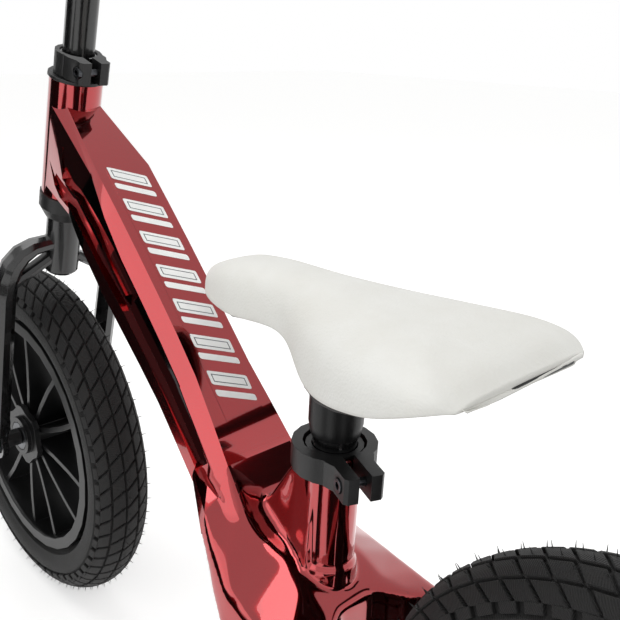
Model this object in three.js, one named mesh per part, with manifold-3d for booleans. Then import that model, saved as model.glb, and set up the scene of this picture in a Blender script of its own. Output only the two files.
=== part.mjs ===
// A twelve-inch balance bike: one-piece cast frame, braced fork on a one-inch
// steerer, T-bar, moulded twin-rib wheels with pneumatic tyres, and a padded
// saddle on a clamped post.
//
// Millimetres, +Z up. The bike rides towards -X, its left side is -Y, and the
// origin lies on the ground halfway between the two axles.

import * as THREE from 'three';
import { mergeVertices } from 'three/addons/utils/BufferGeometryUtils.js';
import Module from 'manifold-3d';

const wasm = await Module();
wasm.setup();

// ---------------------------------------------------------------- dimensions

const GAP = 0.3;                   // clearance between pieces that touch

// Wheels
const WHEELBASE = 566;
const TYRE_RADIUS = 148.5;         // 47-203 tyre
const TYRE_HALF_WIDTH = 23.5;
const TYRE_WALL = 3.2;
const BEAD_SEAT_RADIUS = 101.5;
const RIM_FLANGE_HEIGHT = 6;
const RIM_HALF_WIDTH = 19.5;
const RIM_WALL = 3;
const RIM_DEPTH = 9.5;             // flange edge to the inner edge of the side face
const RIM_WELL_DEPTH = 2;
const RIB_PAIRS = 6;
const RIB_THICKNESS = 4.5;
const RIB_HALF_WIDTH = 15;
const RIB_SPREAD_AT_HUB = 9;       // degrees from a pair's middle to each rib
const RIB_SPREAD_AT_RIM = 12.5;
const RIB_BOW = 2.5;
const WHEEL_PHASE = 38;            // degrees from +X up to the middle of a rib pair
const HUB_RADIUS = 17.5;
const HUB_FLANGE_RADIUS = 26;
const HUB_FLANGE_THICKNESS = 5;
const HUB_LOBE = 2;
const HUB_HALF_WIDTH = 25;
const VALVE_RADIUS = 3;
const VALVE_LENGTH = 26;
const VALVE_BASE_RADIUS = 6.5;
const VALVE_ANGLE = 308;           // degrees from +X up, midway between two rib pairs

// Axles and dropouts
const AXLE_RADIUS = 4.9;
const BEARING_RADIUS = 13;
const BEARING_WIDTH = 8;
const DROPOUT_HALF_SPACING = 40.3; // inner face of a dropout from the mid-plane
const DROPOUT_THICKNESS = 5.5;
const DROPOUT_RADIUS = 14;
const SPACER_RADIUS = 7.5;
const WASHER_RADIUS = 10;
const WASHER_THICKNESS = 1.5;
const NUT_ACROSS_FLATS = 15;
const NUT_HEIGHT = 8;
const AXLE_OVERHANG = 3;           // thread past the nut

// Steering axis; heights along it start at the point nearest the front axle
const HEAD_ANGLE = 73.3;
const FORK_RAKE = 3.7;
const STEERER_RADIUS = 12.7;
const STEERER_WALL = 1.3;
const CROWN_ARM_HEIGHT = 197;      // middle of the upper crown arms
const BARREL_BELOW_ARMS = 26;      // foot of the barrel
const BARREL_SHOULDER = 0.8;       // barrel below the headset, proud of the steerer
const HEAD_TUBE_RADIUS = 18.8;
const HEAD_TUBE_WALL = 2.5;
const HEAD_TUBE_ABOVE_ARMS = 42.5;
const HEAD_TUBE_LENGTH = 88.5;
const CUP_RADIUS = 20;
const CUP_WALL = 2;
const CUP_SKIRT = 10;
const LOWER_CUP_HEIGHT = 19;
const LOWER_CUP_BEVEL = 8;
const UPPER_CUP_HEIGHT = 2.5;
const HEADSET_BEARING_HEIGHT = 6;
const HEADSET_BEARING_RADIUS = 16.2;
const CROWN_RACE_HEIGHT = 2.4;

// Fork
const LEG_RADIUS = 9;
const LEG_HALF_SPREAD = 46;
const LEG_FOOT = 15;
const LEG_BEND_BELOW_ARMS = 42;    // where the leg starts to bend in
const CROWN_ARM_HALF_DEPTH = 6;
const BRACE_TOP_BELOW_ARMS = 10;
const BRACE_FOOT_BELOW_ARMS = 33;
const BRACE_HALF_DEPTH = 4.6;
const BRACE_HALF_WIDTH = 6.5;

// Handlebar
const BAR_RADIUS = 11.1;
const BAR_WALL = 1.6;
const BAR_HEIGHT = 430;            // middle of the crossbar along the steering axis
const BAR_INSERTION = 100;
const BAR_HALF_WIDTH = 205;
const BAR_BEND_START = 14;         // straight bar past the stem, and inside each grip
const BAR_RISE = 18;
const BAR_SWEEP = 20;
const GRIP_LENGTH = 96;
const GRIP_RADIUS = 14.5;
const GRIP_FLANGE_RADIUS = 20;
const GRIP_FLANGE_THICKNESS = 4;
const GRIP_END_WALL = 4;

// Seat tube axis; heights along it start at its foot on the frame
const SEAT_TUBE_SETBACK = 202;     // foot of the seat tube ahead of the rear axle
const SEAT_FOOT_HEIGHT = 200;
const SEAT_LEAN = 1.5;             // degrees, top to the rear
const SEAT_TUBE_RADIUS = 15.5;
const SEAT_TUBE_HEAD_RADIUS = 17.8; // thicker top that the clamp grips
const SEAT_TUBE_HEAD_TAPER = 3;
const SEAT_TUBE_TOP = 79.5;
const SEAT_TUBE_FLARE = 2;
const SEAT_TUBE_FLARE_HEIGHT = 10;
const POST_RADIUS = 12.7;
const POST_WALL = 1.8;
const POST_INSERTION = 100;
const SHIM_WALL = 0.7;
const SHIM_LENGTH = 45;
const SHIM_FLANGE = 2;

// Split clamps
const SEAT_CLAMP_HEIGHT = 15;
const SEAT_CLAMP_TURN = -22;       // degrees about the seat tube, ears to the left
const STEM_CLAMP_HEIGHT = 15.5;
const SEAT_CLAMP_PROUD = 3.5;      // clamp above the tube's top
const SEAT_CLAMP_WALL = 6.2;
const SEAT_CLAMP_EARS = 17;        // ear end past the ring
const STEM_CLAMP_WALL = 3.2;
const STEM_CLAMP_EARS = 9;
const CLAMP_EAR_HALF_WIDTH = 11.5;
const CLAMP_SLOT = 7;
const CLAMP_BOLT_RADIUS = 2.5;
const CLAMP_BOLT_HEAD_RADIUS = 4.2;
const CLAMP_BOLT_HEAD_HEIGHT = 4;

// Saddle
const SADDLE_LENGTH = 221;
const SADDLE_NOSE_AHEAD = 108;     // nose tip ahead of the post
const SADDLE_HALF_WIDTH = 63;
const SADDLE_WAIST_HALF_WIDTH = 25;
const SADDLE_NOSE_HALF_WIDTH = 26;
const SADDLE_HEIGHT = 125;         // root of the saddle above the seat tube foot
const SADDLE_CROWN = 50;           // top of the padding above that root
const SADDLE_PADDING = 10;
const SADDLE_SKIRT_WALL = 3;
const SADDLE_PAN_WALL = 3;
const SADDLE_PAN_RECESS = 4;       // pan's edge above the skirt's edge
const COLLAR_RADIUS = 15.5;
const COLLAR_DROP = 37;            // collar's lower end below the root
const COLLAR_BEVEL = 8;
const COLLAR_SOCKET = 6;           // socket's floor above the root

// Frame
const NECK_DROP = 11;              // top of the neck below the top of the head tube
const NECK_RISE = 51.7;            // neck's end above the foot of the head tube
const NECK_REACH = 70.8;            // neck's end behind the steering axis
const NECK_HALF_WIDTH = 11;
const NECK_SIDE_HALF_WIDTH = 18.4;
const BEAM_DEPTH_AT_NECK = 52;
const BEAM_DEPTH_AT_YOKE = 30;
const BEAM_TOP_HALF_WIDTH = 20.5;
const BEAM_HALF_WIDTH = 30.5;
const BEAM_CHAMFER = 10;
const BEAM_FLARE = 3;              // how much wider the side is at the belly
const BEAM_BELLY_CHAMFER = 4;
const BEAM_END_AHEAD = 42;         // beam's end ahead of the seat tube's foot
const BEAM_END_RISE = 25.5;
const BEAM_BOW = 8.56;             // pull of the top line's middle off its chord
const BEAM_BOW_SHARE = 0.534;
const GROOVE_DEPTH = 6.5;
const GROOVE_FOOT_AT_NECK = 38;    // groove's lower edge below the top line
const GROOVE_FOOT_AT_YOKE = 24;
const GROOVE_CUTTER = 40;          // how far the cutter stands out of the beam
const GROOVE_SLANT = 5;            // how far the upper wall leans over its depth
const GROOVE_END = 0.84;           // share of the beam's length where the recess closes
const RIDGE_WIDTH = 3;             // raised line between the two grooves at the neck
const RIDGE_DEPTH = 26;            // its middle below the top line, where it is highest
const YOKE_REACH = 85;             // yoke's tip ahead of the seat tube's foot
const STAY_HALF_WIDTH = 59;
const STAY_DEPTH = 28;
const STAY_FLARE = 6;              // how much wider the yoke is at its belly
const STAY_TOP_BELOW_FOOT = 20;
const STAY_TAPER = 90;             // where a stay starts to drop, ahead of the axle
const DROPOUT_TAPER = 25;
const WHEEL_WELL_CLEARANCE = 29;   // front of the wheel well from the tyre
const WHEEL_WELL_FRONT_HALF_WIDTH = 12;
const GUSSET_HALF_WIDTH = 9;       // at its front edge
const GUSSET_RISE = 66;

// Facets
const RING_SEGMENTS = 28;
const TUBE_SEGMENTS = 18;
const SMALL_SEGMENTS = 10;

// ------------------------------------------------------------ derived places

const radians = THREE.MathUtils.degToRad;
const lerp = THREE.MathUtils.lerp;
const frontAxle = new THREE.Vector3(-WHEELBASE / 2, 0, TYRE_RADIUS);
const rearAxle = new THREE.Vector3(WHEELBASE / 2, 0, TYRE_RADIUS);

const rimFlangeRadius = BEAD_SEAT_RADIUS + RIM_FLANGE_HEIGHT;
const rimInnerRadius = rimFlangeRadius - RIM_DEPTH;
const rimHookHalfWidth = RIM_HALF_WIDTH - RIM_WALL;
const tyreCentreRadius = TYRE_RADIUS - TYRE_HALF_WIDTH;
const axleBore = AXLE_RADIUS + GAP;
const dropoutOuter = DROPOUT_HALF_SPACING + DROPOUT_THICKNESS;
const washerInner = dropoutOuter + GAP;
const nutInner = washerInner + WASHER_THICKNESS + GAP;
const axleEnd = nutInner + NUT_HEIGHT + AXLE_OVERHANG;

const steererFoot = CROWN_ARM_HEIGHT - BARREL_BELOW_ARMS;
const legBend = CROWN_ARM_HEIGHT - LEG_BEND_BELOW_ARMS;
const headTubeBottom = CROWN_ARM_HEIGHT + HEAD_TUBE_ABOVE_ARMS;
const headTubeTop = headTubeBottom + HEAD_TUBE_LENGTH;
const headTubeBore = HEAD_TUBE_RADIUS - HEAD_TUBE_WALL;
const cupSkirtRadius = headTubeBore - GAP;
const steererBore = STEERER_RADIUS - STEERER_WALL;
const steererFit = STEERER_RADIUS + GAP;
const barrelRadius = STEERER_RADIUS + BARREL_SHOULDER;
const lowerCupTop = headTubeBottom - GAP;
const lowerCupBottom = lowerCupTop - LOWER_CUP_HEIGHT;
const barrelTop = lowerCupBottom + 1.5;
const crownRaceBottom = barrelTop + GAP;
const crownRaceTop = crownRaceBottom + CROWN_RACE_HEIGHT;
const lowerBearingBottom = crownRaceTop + GAP;
const lowerBearingTop = lowerBearingBottom + HEADSET_BEARING_HEIGHT;
const upperCupBottom = headTubeTop + GAP;
const upperCupTop = upperCupBottom + UPPER_CUP_HEIGHT;
const stemClampBottom = upperCupTop + 2 * GAP;
const steererTop = stemClampBottom + STEM_CLAMP_HEIGHT - 1;
const barFoot = steererTop - BAR_INSERTION;

const steeringGroup = new THREE.Group();
steeringGroup.rotation.y = radians(90 - HEAD_ANGLE);
steeringGroup.position
  .copy(frontAxle)
  .add(new THREE.Vector3(FORK_RAKE, 0, 0).applyEuler(steeringGroup.rotation));

const postBore = POST_RADIUS + GAP;
const shimRadius = postBore + SHIM_WALL;
const seatTubeBore = shimRadius + GAP;
const seatClampBottom = SEAT_TUBE_TOP + SEAT_CLAMP_PROUD - SEAT_CLAMP_HEIGHT;
const postTop = SADDLE_HEIGHT + COLLAR_SOCKET - GAP;
const seatGroup = new THREE.Group();
seatGroup.rotation.y = radians(SEAT_LEAN);
seatGroup.position.set(rearAxle.x - SEAT_TUBE_SETBACK, 0, SEAT_FOOT_HEIGHT);

const saddleGroup = new THREE.Group();
saddleGroup.position.copy(onSeat(0, SADDLE_HEIGHT));

const bike = new THREE.Group();
bike.add(steeringGroup, seatGroup, saddleGroup);
bike.updateMatrixWorld(true);

// Points in the mid-plane, given by a distance behind an axis and a height on it.
function onSteering(behind, height) {
  return new THREE.Vector3(behind, 0, height)
    .applyEuler(steeringGroup.rotation)
    .add(steeringGroup.position);
}
function onSeat(behind, height) {
  return new THREE.Vector3(behind, 0, height)
    .applyEuler(seatGroup.rotation)
    .add(seatGroup.position);
}

// ------------------------------------------------------------------ finishes

const finish = (color, roughness, metalness) =>
  new THREE.MeshStandardMaterial({ color, roughness, metalness });
const finishes = {
  candyRed: finish(0x9c1c22, 0.12, 0.85),
  glossBlack: finish(0x141416, 0.25, 0.1),
  satinBlack: finish(0x1c1c1e, 0.5, 0.1),
  rubber: finish(0x232323, 0.9, 0),
  steel: finish(0xb8babd, 0.3, 1),
  vinyl: finish(0xdfe0db, 0.6, 0),
};

// --------------------------------------------------------------- shape tools

// A closed geometry with shared corners and faces turned out, ready to cut and join.
function toSolid(geometry) {
  const bare = geometry.clone();
  for (const name of ['normal', 'uv']) bare.deleteAttribute(name);
  const welded = mergeVertices(bare, 1e-4);
  const position = welded.attributes.position;
  const corner = [0, 1, 2].map(() => new THREE.Vector3());
  const triangles = [];
  let volume = 0;
  for (let i = 0; i < welded.index.count; i += 3) {
    const face = [0, 1, 2].map((k) => welded.index.getX(i + k));
    if (new Set(face).size < 3) continue;
    triangles.push(face);
    corner.forEach((point, k) => point.fromBufferAttribute(position, face[k]));
    volume += corner[0].dot(corner[1].cross(corner[2]));
  }
  const outward = volume > 0 ? triangles : triangles.map(([a, b, c]) => [a, c, b]);
  return new wasm.Manifold(
    new wasm.Mesh({
      numProp: 3,
      vertProperties: new Float32Array(position.array),
      triVerts: new Uint32Array(outward.flat()),
    }),
  );
}

function toGeometry(solid) {
  const mesh = solid.getMesh();
  const geometry = new THREE.BufferGeometry();
  geometry.setAttribute('position', new THREE.BufferAttribute(mesh.vertProperties, 3));
  geometry.setIndex(new THREE.BufferAttribute(mesh.triVerts, 1));
  return geometry;
}

const join = (first, ...rest) =>
  toGeometry(rest.reduce((sum, item) => sum.add(toSolid(item)), toSolid(first)));
const cut = (body, ...tools) =>
  toGeometry(tools.reduce((left, tool) => left.subtract(toSolid(tool)), toSolid(body)));
const common = (first, second) => toGeometry(toSolid(first).intersect(toSolid(second)));

function addPart(name, geometry, material, parent = bike, place = new THREE.Vector3()) {
  const mesh = new THREE.Mesh(join(geometry), material.clone());
  mesh.name = name;
  mesh.position.copy(place);
  parent.add(mesh);
  return mesh;
}

const moved = (geometry, x, y, z) => geometry.clone().translate(x, y, z);
const onSteeringAxis = (geometry) => geometry.clone().applyMatrix4(steeringGroup.matrixWorld);
const onSeatAxis = (geometry) => geometry.clone().applyMatrix4(seatGroup.matrixWorld);

// A profile of [radius, height] points turned about the Y axis, or about Z.
function turnAcross(profile, segments = TUBE_SEGMENTS) {
  return new THREE.LatheGeometry(profile.map(([r, h]) => new THREE.Vector2(r, h)), segments);
}
const turn = (profile, segments) => turnAcross(profile, segments).rotateX(Math.PI / 2);

const rodProfile = (radius, from, to) => [[0, from], [radius, from], [radius, to], [0, to]];
const ringProfile = (inner, outer, from, to) =>
  [[inner, from], [outer, from], [outer, to], [inner, to], [inner, from]];
const rod = (radius, from, to, segments) => turn(rodProfile(radius, from, to), segments);
const ring = (inner, outer, from, to, segments) =>
  turn(ringProfile(inner, outer, from, to), segments);
const crossRod = (radius, from, to, segments) => turnAcross(rodProfile(radius, from, to), segments);
const crossRing = (inner, outer, from, to, segments) =>
  turnAcross(ringProfile(inner, outer, from, to), segments);
const block = (x0, x1, y0, y1, z0, z1) =>
  new THREE.BoxGeometry(x1 - x0, y1 - y0, z1 - z0)
    .translate((x0 + x1) / 2, (y0 + y1) / 2, (z0 + z1) / 2);

// A flat plate drawn in X and Z, spread across Y.
function plateAcross(shape, from, to) {
  const options = { depth: to - from, bevelEnabled: false, curveSegments: 8 };
  return new THREE.ExtrudeGeometry(shape, options).rotateX(Math.PI / 2).translate(0, to, 0);
}

// A skin over flat rings of points, each with the same number of corners, with flat ends.
function loft(rings) {
  const count = rings[0].length;
  const index = [];
  for (let i = 0; i < rings.length - 1; i += 1) {
    for (let j = 0; j < count; j += 1) {
      const a = i * count + j;
      const b = i * count + ((j + 1) % count);
      index.push(a, b, a + count, b, b + count, a + count);
    }
  }
  const last = (rings.length - 1) * count;
  const [nearEnd, farEnd] = [flatFaces(rings[0]), flatFaces(rings[rings.length - 1])];
  for (const [a, b, c] of nearEnd) index.push(a, c, b);
  for (const [a, b, c] of farEnd) index.push(last + a, last + b, last + c);
  const geometry = new THREE.BufferGeometry();
  const corners = rings.flat().flatMap((p) => [p.x, p.y, p.z]);
  geometry.setAttribute('position', new THREE.Float32BufferAttribute(corners, 3));
  geometry.setIndex(index);
  return geometry;
}

// Triangles over a flat ring, wound the way the ring runs.
function flatFaces(points) {
  const centre = new THREE.Vector3();
  points.forEach((p) => centre.add(p));
  centre.divideScalar(points.length);
  const arms = points.map((p) => p.clone().sub(centre));
  const normal = new THREE.Vector3();
  arms.forEach((arm, i) => normal.add(arm.clone().cross(arms[(i + 1) % arms.length])));
  normal.normalize();
  const right = arms[0].clone().normalize();
  const up = normal.clone().cross(right);
  const flat = arms.map((arm) => new THREE.Vector2(arm.dot(right), arm.dot(up)));
  return THREE.ShapeUtils.triangulateShape(flat, []);
}

// The value of a line of [place, value] points at a place along it.
function along(line, place) {
  let i = 1;
  while (i < line.length - 1 && place > line[i][0]) i += 1;
  const [[x0, y0], [x1, y1]] = [line[i - 1], line[i]];
  return lerp(y0, y1, THREE.MathUtils.clamp((place - x0) / (x1 - x0), 0, 1));
}

// -------------------------------------------------------------------- wheels

// Moulded wheel: channel rim, pairs of thin deep ribs, and a lobed hub.
function wheelGeometry() {
  const seat = BEAD_SEAT_RADIUS;
  const well = seat - RIM_WELL_DEPTH;
  const half = RIM_HALF_WIDTH;
  const rim = turnAcross([
    [rimInnerRadius, -half], [rimFlangeRadius, -half], [rimFlangeRadius, -rimHookHalfWidth],
    [seat, -rimHookHalfWidth], [seat, rimHookHalfWidth],
    [rimFlangeRadius, rimHookHalfWidth], [rimFlangeRadius, half], [rimInnerRadius, half],
    [well - RIM_WALL, half - RIM_WALL], [well - RIM_WALL, RIM_WALL - half],
    [rimInnerRadius, -half],
  ], RING_SEGMENTS);
  const pieces = [rim, crossRod(HUB_RADIUS, -HUB_HALF_WIDTH, HUB_HALF_WIDTH)];
  const flange = plateAcross(hubFlangeShape(), -HUB_FLANGE_THICKNESS / 2, HUB_FLANGE_THICKNESS / 2);
  const flangeAt = HUB_HALF_WIDTH - 4 - HUB_FLANGE_THICKNESS / 2;
  pieces.push(...[-flangeAt, flangeAt].map((y) => moved(flange, 0, y, 0)));
  for (let pair = 0; pair < RIB_PAIRS; pair += 1) {
    for (const side of [-1, 1]) pieces.push(ribGeometry(pair, side));
  }
  const bearingSeat = BEARING_WIDTH + GAP;
  const pocket = BEARING_RADIUS + GAP;
  const tools = [
    crossRod(axleBore, -HUB_HALF_WIDTH - 1, HUB_HALF_WIDTH + 1, SMALL_SEGMENTS),
    crossRod(pocket, HUB_HALF_WIDTH - bearingSeat, HUB_HALF_WIDTH + 1, SMALL_SEGMENTS),
    crossRod(pocket, -HUB_HALF_WIDTH - 1, bearingSeat - HUB_HALF_WIDTH, SMALL_SEGMENTS),
    valveRod(VALVE_RADIUS + GAP, rimInnerRadius - 2 * RIM_WALL, rimFlangeRadius),
  ];
  return cut(join(...pieces), ...tools);
}

function hubFlangeShape() {
  const points = [];
  const steps = RIB_PAIRS * 4;
  for (let i = 0; i < steps; i += 1) {
    const angle = (i / steps) * 2 * Math.PI;
    const lobe = HUB_LOBE * Math.cos(RIB_PAIRS * (angle - radians(WHEEL_PHASE)));
    points.push(polar(HUB_FLANGE_RADIUS + lobe, angle));
  }
  return new THREE.Shape(points);
}

// One rib: a thin wall that bows as it runs from the hub out to the rim.
function ribGeometry(pair, side) {
  const middle = radians(WHEEL_PHASE) + (pair * 2 * Math.PI) / RIB_PAIRS;
  const inner = polar(HUB_RADIUS - 1, middle + side * radians(RIB_SPREAD_AT_HUB));
  const outer = polar(rimInnerRadius - 1, middle + side * radians(RIB_SPREAD_AT_RIM));
  const across = outer.clone().sub(inner).normalize().rotateAround(new THREE.Vector2(), Math.PI / 2);
  const middlePoint = inner.clone().lerp(outer, 0.5).addScaledVector(across, side * 2 * RIB_BOW);
  const spine = new THREE.QuadraticBezierCurve(inner, middlePoint, outer).getPoints(3);
  const faces = [-1, 1].map((face) =>
    spine.map((p) => p.clone().addScaledVector(across, (face * RIB_THICKNESS) / 2)));
  const outline = new THREE.Shape([...faces[0], ...faces[1].reverse()]);
  return plateAcross(outline, -RIB_HALF_WIDTH, RIB_HALF_WIDTH);
}

const polar = (radius, angle) =>
  new THREE.Vector2(radius * Math.cos(angle), radius * Math.sin(angle));

// A rod along the valve's line, from one radius of the wheel to another.
function valveRod(radius, from, to) {
  return rod(radius, from, to, SMALL_SEGMENTS).rotateY(radians(90 - VALVE_ANGLE));
}

// Tyre shell, open towards the rim, with its beads inside the rim's flanges.
function tyreGeometry() {
  const beadOuter = rimHookHalfWidth - GAP;
  const beadInner = beadOuter - TYRE_WALL - 1;
  const beadFoot = BEAD_SEAT_RADIUS + GAP;
  const shoulder = rimFlangeRadius + GAP;
  const start = Math.asin((shoulder - tyreCentreRadius) / TYRE_HALF_WIDTH);
  const arc = (radius, from, to, steps) => Array.from({ length: steps + 1 }, (_, i) => {
    const angle = lerp(from, to, i / steps);
    return [tyreCentreRadius + radius * Math.sin(angle), radius * Math.cos(angle)];
  });
  const outside = arc(TYRE_HALF_WIDTH, start, Math.PI - start, 8);
  const inside = arc(TYRE_HALF_WIDTH - TYRE_WALL, Math.PI - start, start, 3);
  const profile = [
    [beadFoot, beadInner], [beadFoot, beadOuter], [shoulder, Math.min(beadOuter, outside[0][1])],
    ...outside.slice(1, -1),
    [shoulder, -Math.min(beadOuter, outside[0][1])], [beadFoot, -beadOuter], [beadFoot, -beadInner],
    ...inside,
    [beadFoot, beadInner],
  ];
  return turnAcross(profile, RING_SEGMENTS);
}

function hexNut() {
  const radius = NUT_ACROSS_FLATS / Math.sqrt(3);
  const body = new THREE.CylinderGeometry(radius, radius, NUT_HEIGHT, 6);
  return cut(body, crossRod(axleBore, -NUT_HEIGHT, NUT_HEIGHT, SMALL_SEGMENTS));
}

function addWheel(end, axle) {
  const place = axle.clone();
  addPart(`${end}_wheel`, wheelGeometry(), finishes.satinBlack, bike, place);
  addPart(`${end}_tyre`, tyreGeometry(), finishes.rubber, bike, place);
  const valve = join(
    valveRod(VALVE_RADIUS, BEAD_SEAT_RADIUS - VALVE_LENGTH, BEAD_SEAT_RADIUS + GAP + 1),
    valveRod(VALVE_BASE_RADIUS, BEAD_SEAT_RADIUS + GAP, BEAD_SEAT_RADIUS + GAP + 2.5),
  );
  addPart(`${end}_valve`, valve, finishes.steel, bike, place);
  addPart(`${end}_axle`, crossRod(AXLE_RADIUS, -axleEnd, axleEnd, SMALL_SEGMENTS),
    finishes.steel, bike, place);
  const spacer = crossRing(axleBore, SPACER_RADIUS, HUB_HALF_WIDTH + GAP,
    DROPOUT_HALF_SPACING - GAP, SMALL_SEGMENTS);
  const bearing = crossRing(axleBore, BEARING_RADIUS, HUB_HALF_WIDTH - BEARING_WIDTH,
    HUB_HALF_WIDTH, SMALL_SEGMENTS);
  const washer = crossRing(axleBore, WASHER_RADIUS, washerInner, washerInner + WASHER_THICKNESS,
    SMALL_SEGMENTS);
  const nut = moved(hexNut(), 0, nutInner + NUT_HEIGHT / 2, 0);
  for (const [side, turned] of [['left', Math.PI], ['right', 0]]) {
    const placed = (geometry) => geometry.clone().rotateX(turned);
    addPart(`${end}_bearing_${side}`, placed(bearing), finishes.steel, bike, place);
    addPart(`${end}_spacer_${side}`, placed(spacer), finishes.steel, bike, place);
    addPart(`${end}_washer_${side}`, placed(washer), finishes.steel, bike, place);
    addPart(`${end}_nut_${side}`, placed(nut), finishes.steel, bike, place);
  }
}

// ----------------------------------------------------------------------- fork

// A closed ring of points round a place on a leg or arm, in the plane across `towards`.
function ovalRing(centre, towards, halfDepth, halfWidth) {
  const normal = new THREE.Vector3(0, -towards.z, towards.y).normalize();
  return Array.from({ length: SMALL_SEGMENTS }, (_, i) => {
    const angle = (i / SMALL_SEGMENTS) * 2 * Math.PI;
    return centre.clone()
      .addScaledVector(normal, halfDepth * Math.cos(angle))
      .add(new THREE.Vector3(halfWidth * Math.sin(angle), 0, 0));
  });
}

// A leg bent in at its top, running flat into the barrel as the upper crown arm.
function legGeometry(side) {
  const at = (y, z) => new THREE.Vector3(0, side * y, z);
  const bend = new THREE.QuadraticBezierCurve3(
    at(STEERER_RADIUS, CROWN_ARM_HEIGHT),
    at(LEG_HALF_SPREAD, CROWN_ARM_HEIGHT),
    at(LEG_HALF_SPREAD, legBend),
  );
  const centres = [
    at(0, CROWN_ARM_HEIGHT), ...bend.getPoints(5), at(LEG_HALF_SPREAD, LEG_FOOT),
  ];
  const rings = centres.map((centre, i) => {
    const before = centres[Math.max(0, i - 1)];
    const after = centres[Math.min(centres.length - 1, i + 1)];
    const flat = THREE.MathUtils.smoothstep(i, 1, 4);
    return ovalRing(centre, after.clone().sub(before),
      lerp(CROWN_ARM_HALF_DEPTH, LEG_RADIUS, flat), lerp(BRACE_HALF_WIDTH + 1, LEG_RADIUS, flat));
  });
  return loft(rings);
}

// The lower crown brace, a flat bar from the foot of the barrel out to the leg.
function braceGeometry(side) {
  const ends = [
    [STEERER_RADIUS - 4, BRACE_TOP_BELOW_ARMS + 2],
    [LEG_HALF_SPREAD - LEG_RADIUS / 2, BRACE_FOOT_BELOW_ARMS],
  ].map(([y, below]) => new THREE.Vector3(0, side * y, CROWN_ARM_HEIGHT - below));
  const towards = ends[1].clone().sub(ends[0]);
  return loft(ends.map((end) => ovalRing(end, towards, BRACE_HALF_DEPTH, BRACE_HALF_WIDTH)));
}

// A dropout: a flat tab under the leg with a round end about the axle.
function dropoutGeometry(side) {
  const inner = side > 0 ? DROPOUT_HALF_SPACING : -dropoutOuter;
  const tab = block(-FORK_RAKE - DROPOUT_RADIUS * 0.7, LEG_RADIUS * 0.8,
    inner, inner + DROPOUT_THICKNESS, 0, LEG_FOOT + 3 * LEG_RADIUS);
  const end = moved(crossRod(DROPOUT_RADIUS, inner, inner + DROPOUT_THICKNESS), -FORK_RAKE, 0, 0);
  return join(tab, end);
}

function forkGeometry() {
  const barrel = turn([
    [0, steererFoot], [barrelRadius - 2, steererFoot], [barrelRadius, steererFoot + 2.5],
    [barrelRadius, barrelTop], [STEERER_RADIUS, barrelTop], [STEERER_RADIUS, steererTop],
    [0, steererTop],
  ]);
  const sides = [-1, 1].flatMap((side) =>
    [legGeometry(side), braceGeometry(side), dropoutGeometry(side)]);
  const slot = block(0, 2 * STEERER_RADIUS, -CLAMP_SLOT / 4, CLAMP_SLOT / 4,
    stemClampBottom - 4, steererTop + 1);
  const axleHole = moved(crossRod(axleBore, -dropoutOuter - 20, dropoutOuter + 20, SMALL_SEGMENTS),
    -FORK_RAKE, 0, 0);
  return cut(join(barrel, ...sides),
    rod(steererBore, steererFoot - 1, steererTop + 1), slot, axleHole);
}

// ------------------------------------------------------------ headset, clamps

const bearingPocket = HEADSET_BEARING_RADIUS + GAP;
const lowerCup = turn([
  [barrelRadius + 2 * GAP, lowerCupBottom], [barrelRadius + 2, lowerCupBottom],
  [CUP_RADIUS, lowerCupBottom + LOWER_CUP_BEVEL], [CUP_RADIUS, lowerCupTop],
  [cupSkirtRadius, lowerCupTop], [cupSkirtRadius, headTubeBottom + CUP_SKIRT],
  [cupSkirtRadius - CUP_WALL, headTubeBottom + CUP_SKIRT],
  [cupSkirtRadius - CUP_WALL, lowerBearingTop + GAP],
  [bearingPocket, lowerBearingTop + GAP], [bearingPocket, lowerBearingBottom],
  [barrelRadius + 2 * GAP, lowerCupBottom],
]);
const crownRace = ring(steererFit, barrelRadius + 1, crownRaceBottom, crownRaceTop);
const lowerBearing = ring(steererFit, HEADSET_BEARING_RADIUS, lowerBearingBottom, lowerBearingTop);
const upperBearingTop = upperCupTop - 1;
const upperShelf = upperBearingTop - HEADSET_BEARING_HEIGHT - GAP;
const upperPocket = cupSkirtRadius - CUP_WALL / 2;
const upperCup = turn([
  [steererFit + 0.5, upperShelf - 2], [cupSkirtRadius, upperShelf - 2],
  [cupSkirtRadius, upperCupBottom], [CUP_RADIUS, upperCupBottom], [CUP_RADIUS, upperCupTop],
  [upperPocket, upperCupTop], [upperPocket, upperShelf], [steererFit + 0.5, upperShelf],
  [steererFit + 0.5, upperShelf - 2],
]);
const upperBearing = ring(steererFit, upperPocket - GAP, upperShelf + GAP, upperBearingTop);

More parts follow.
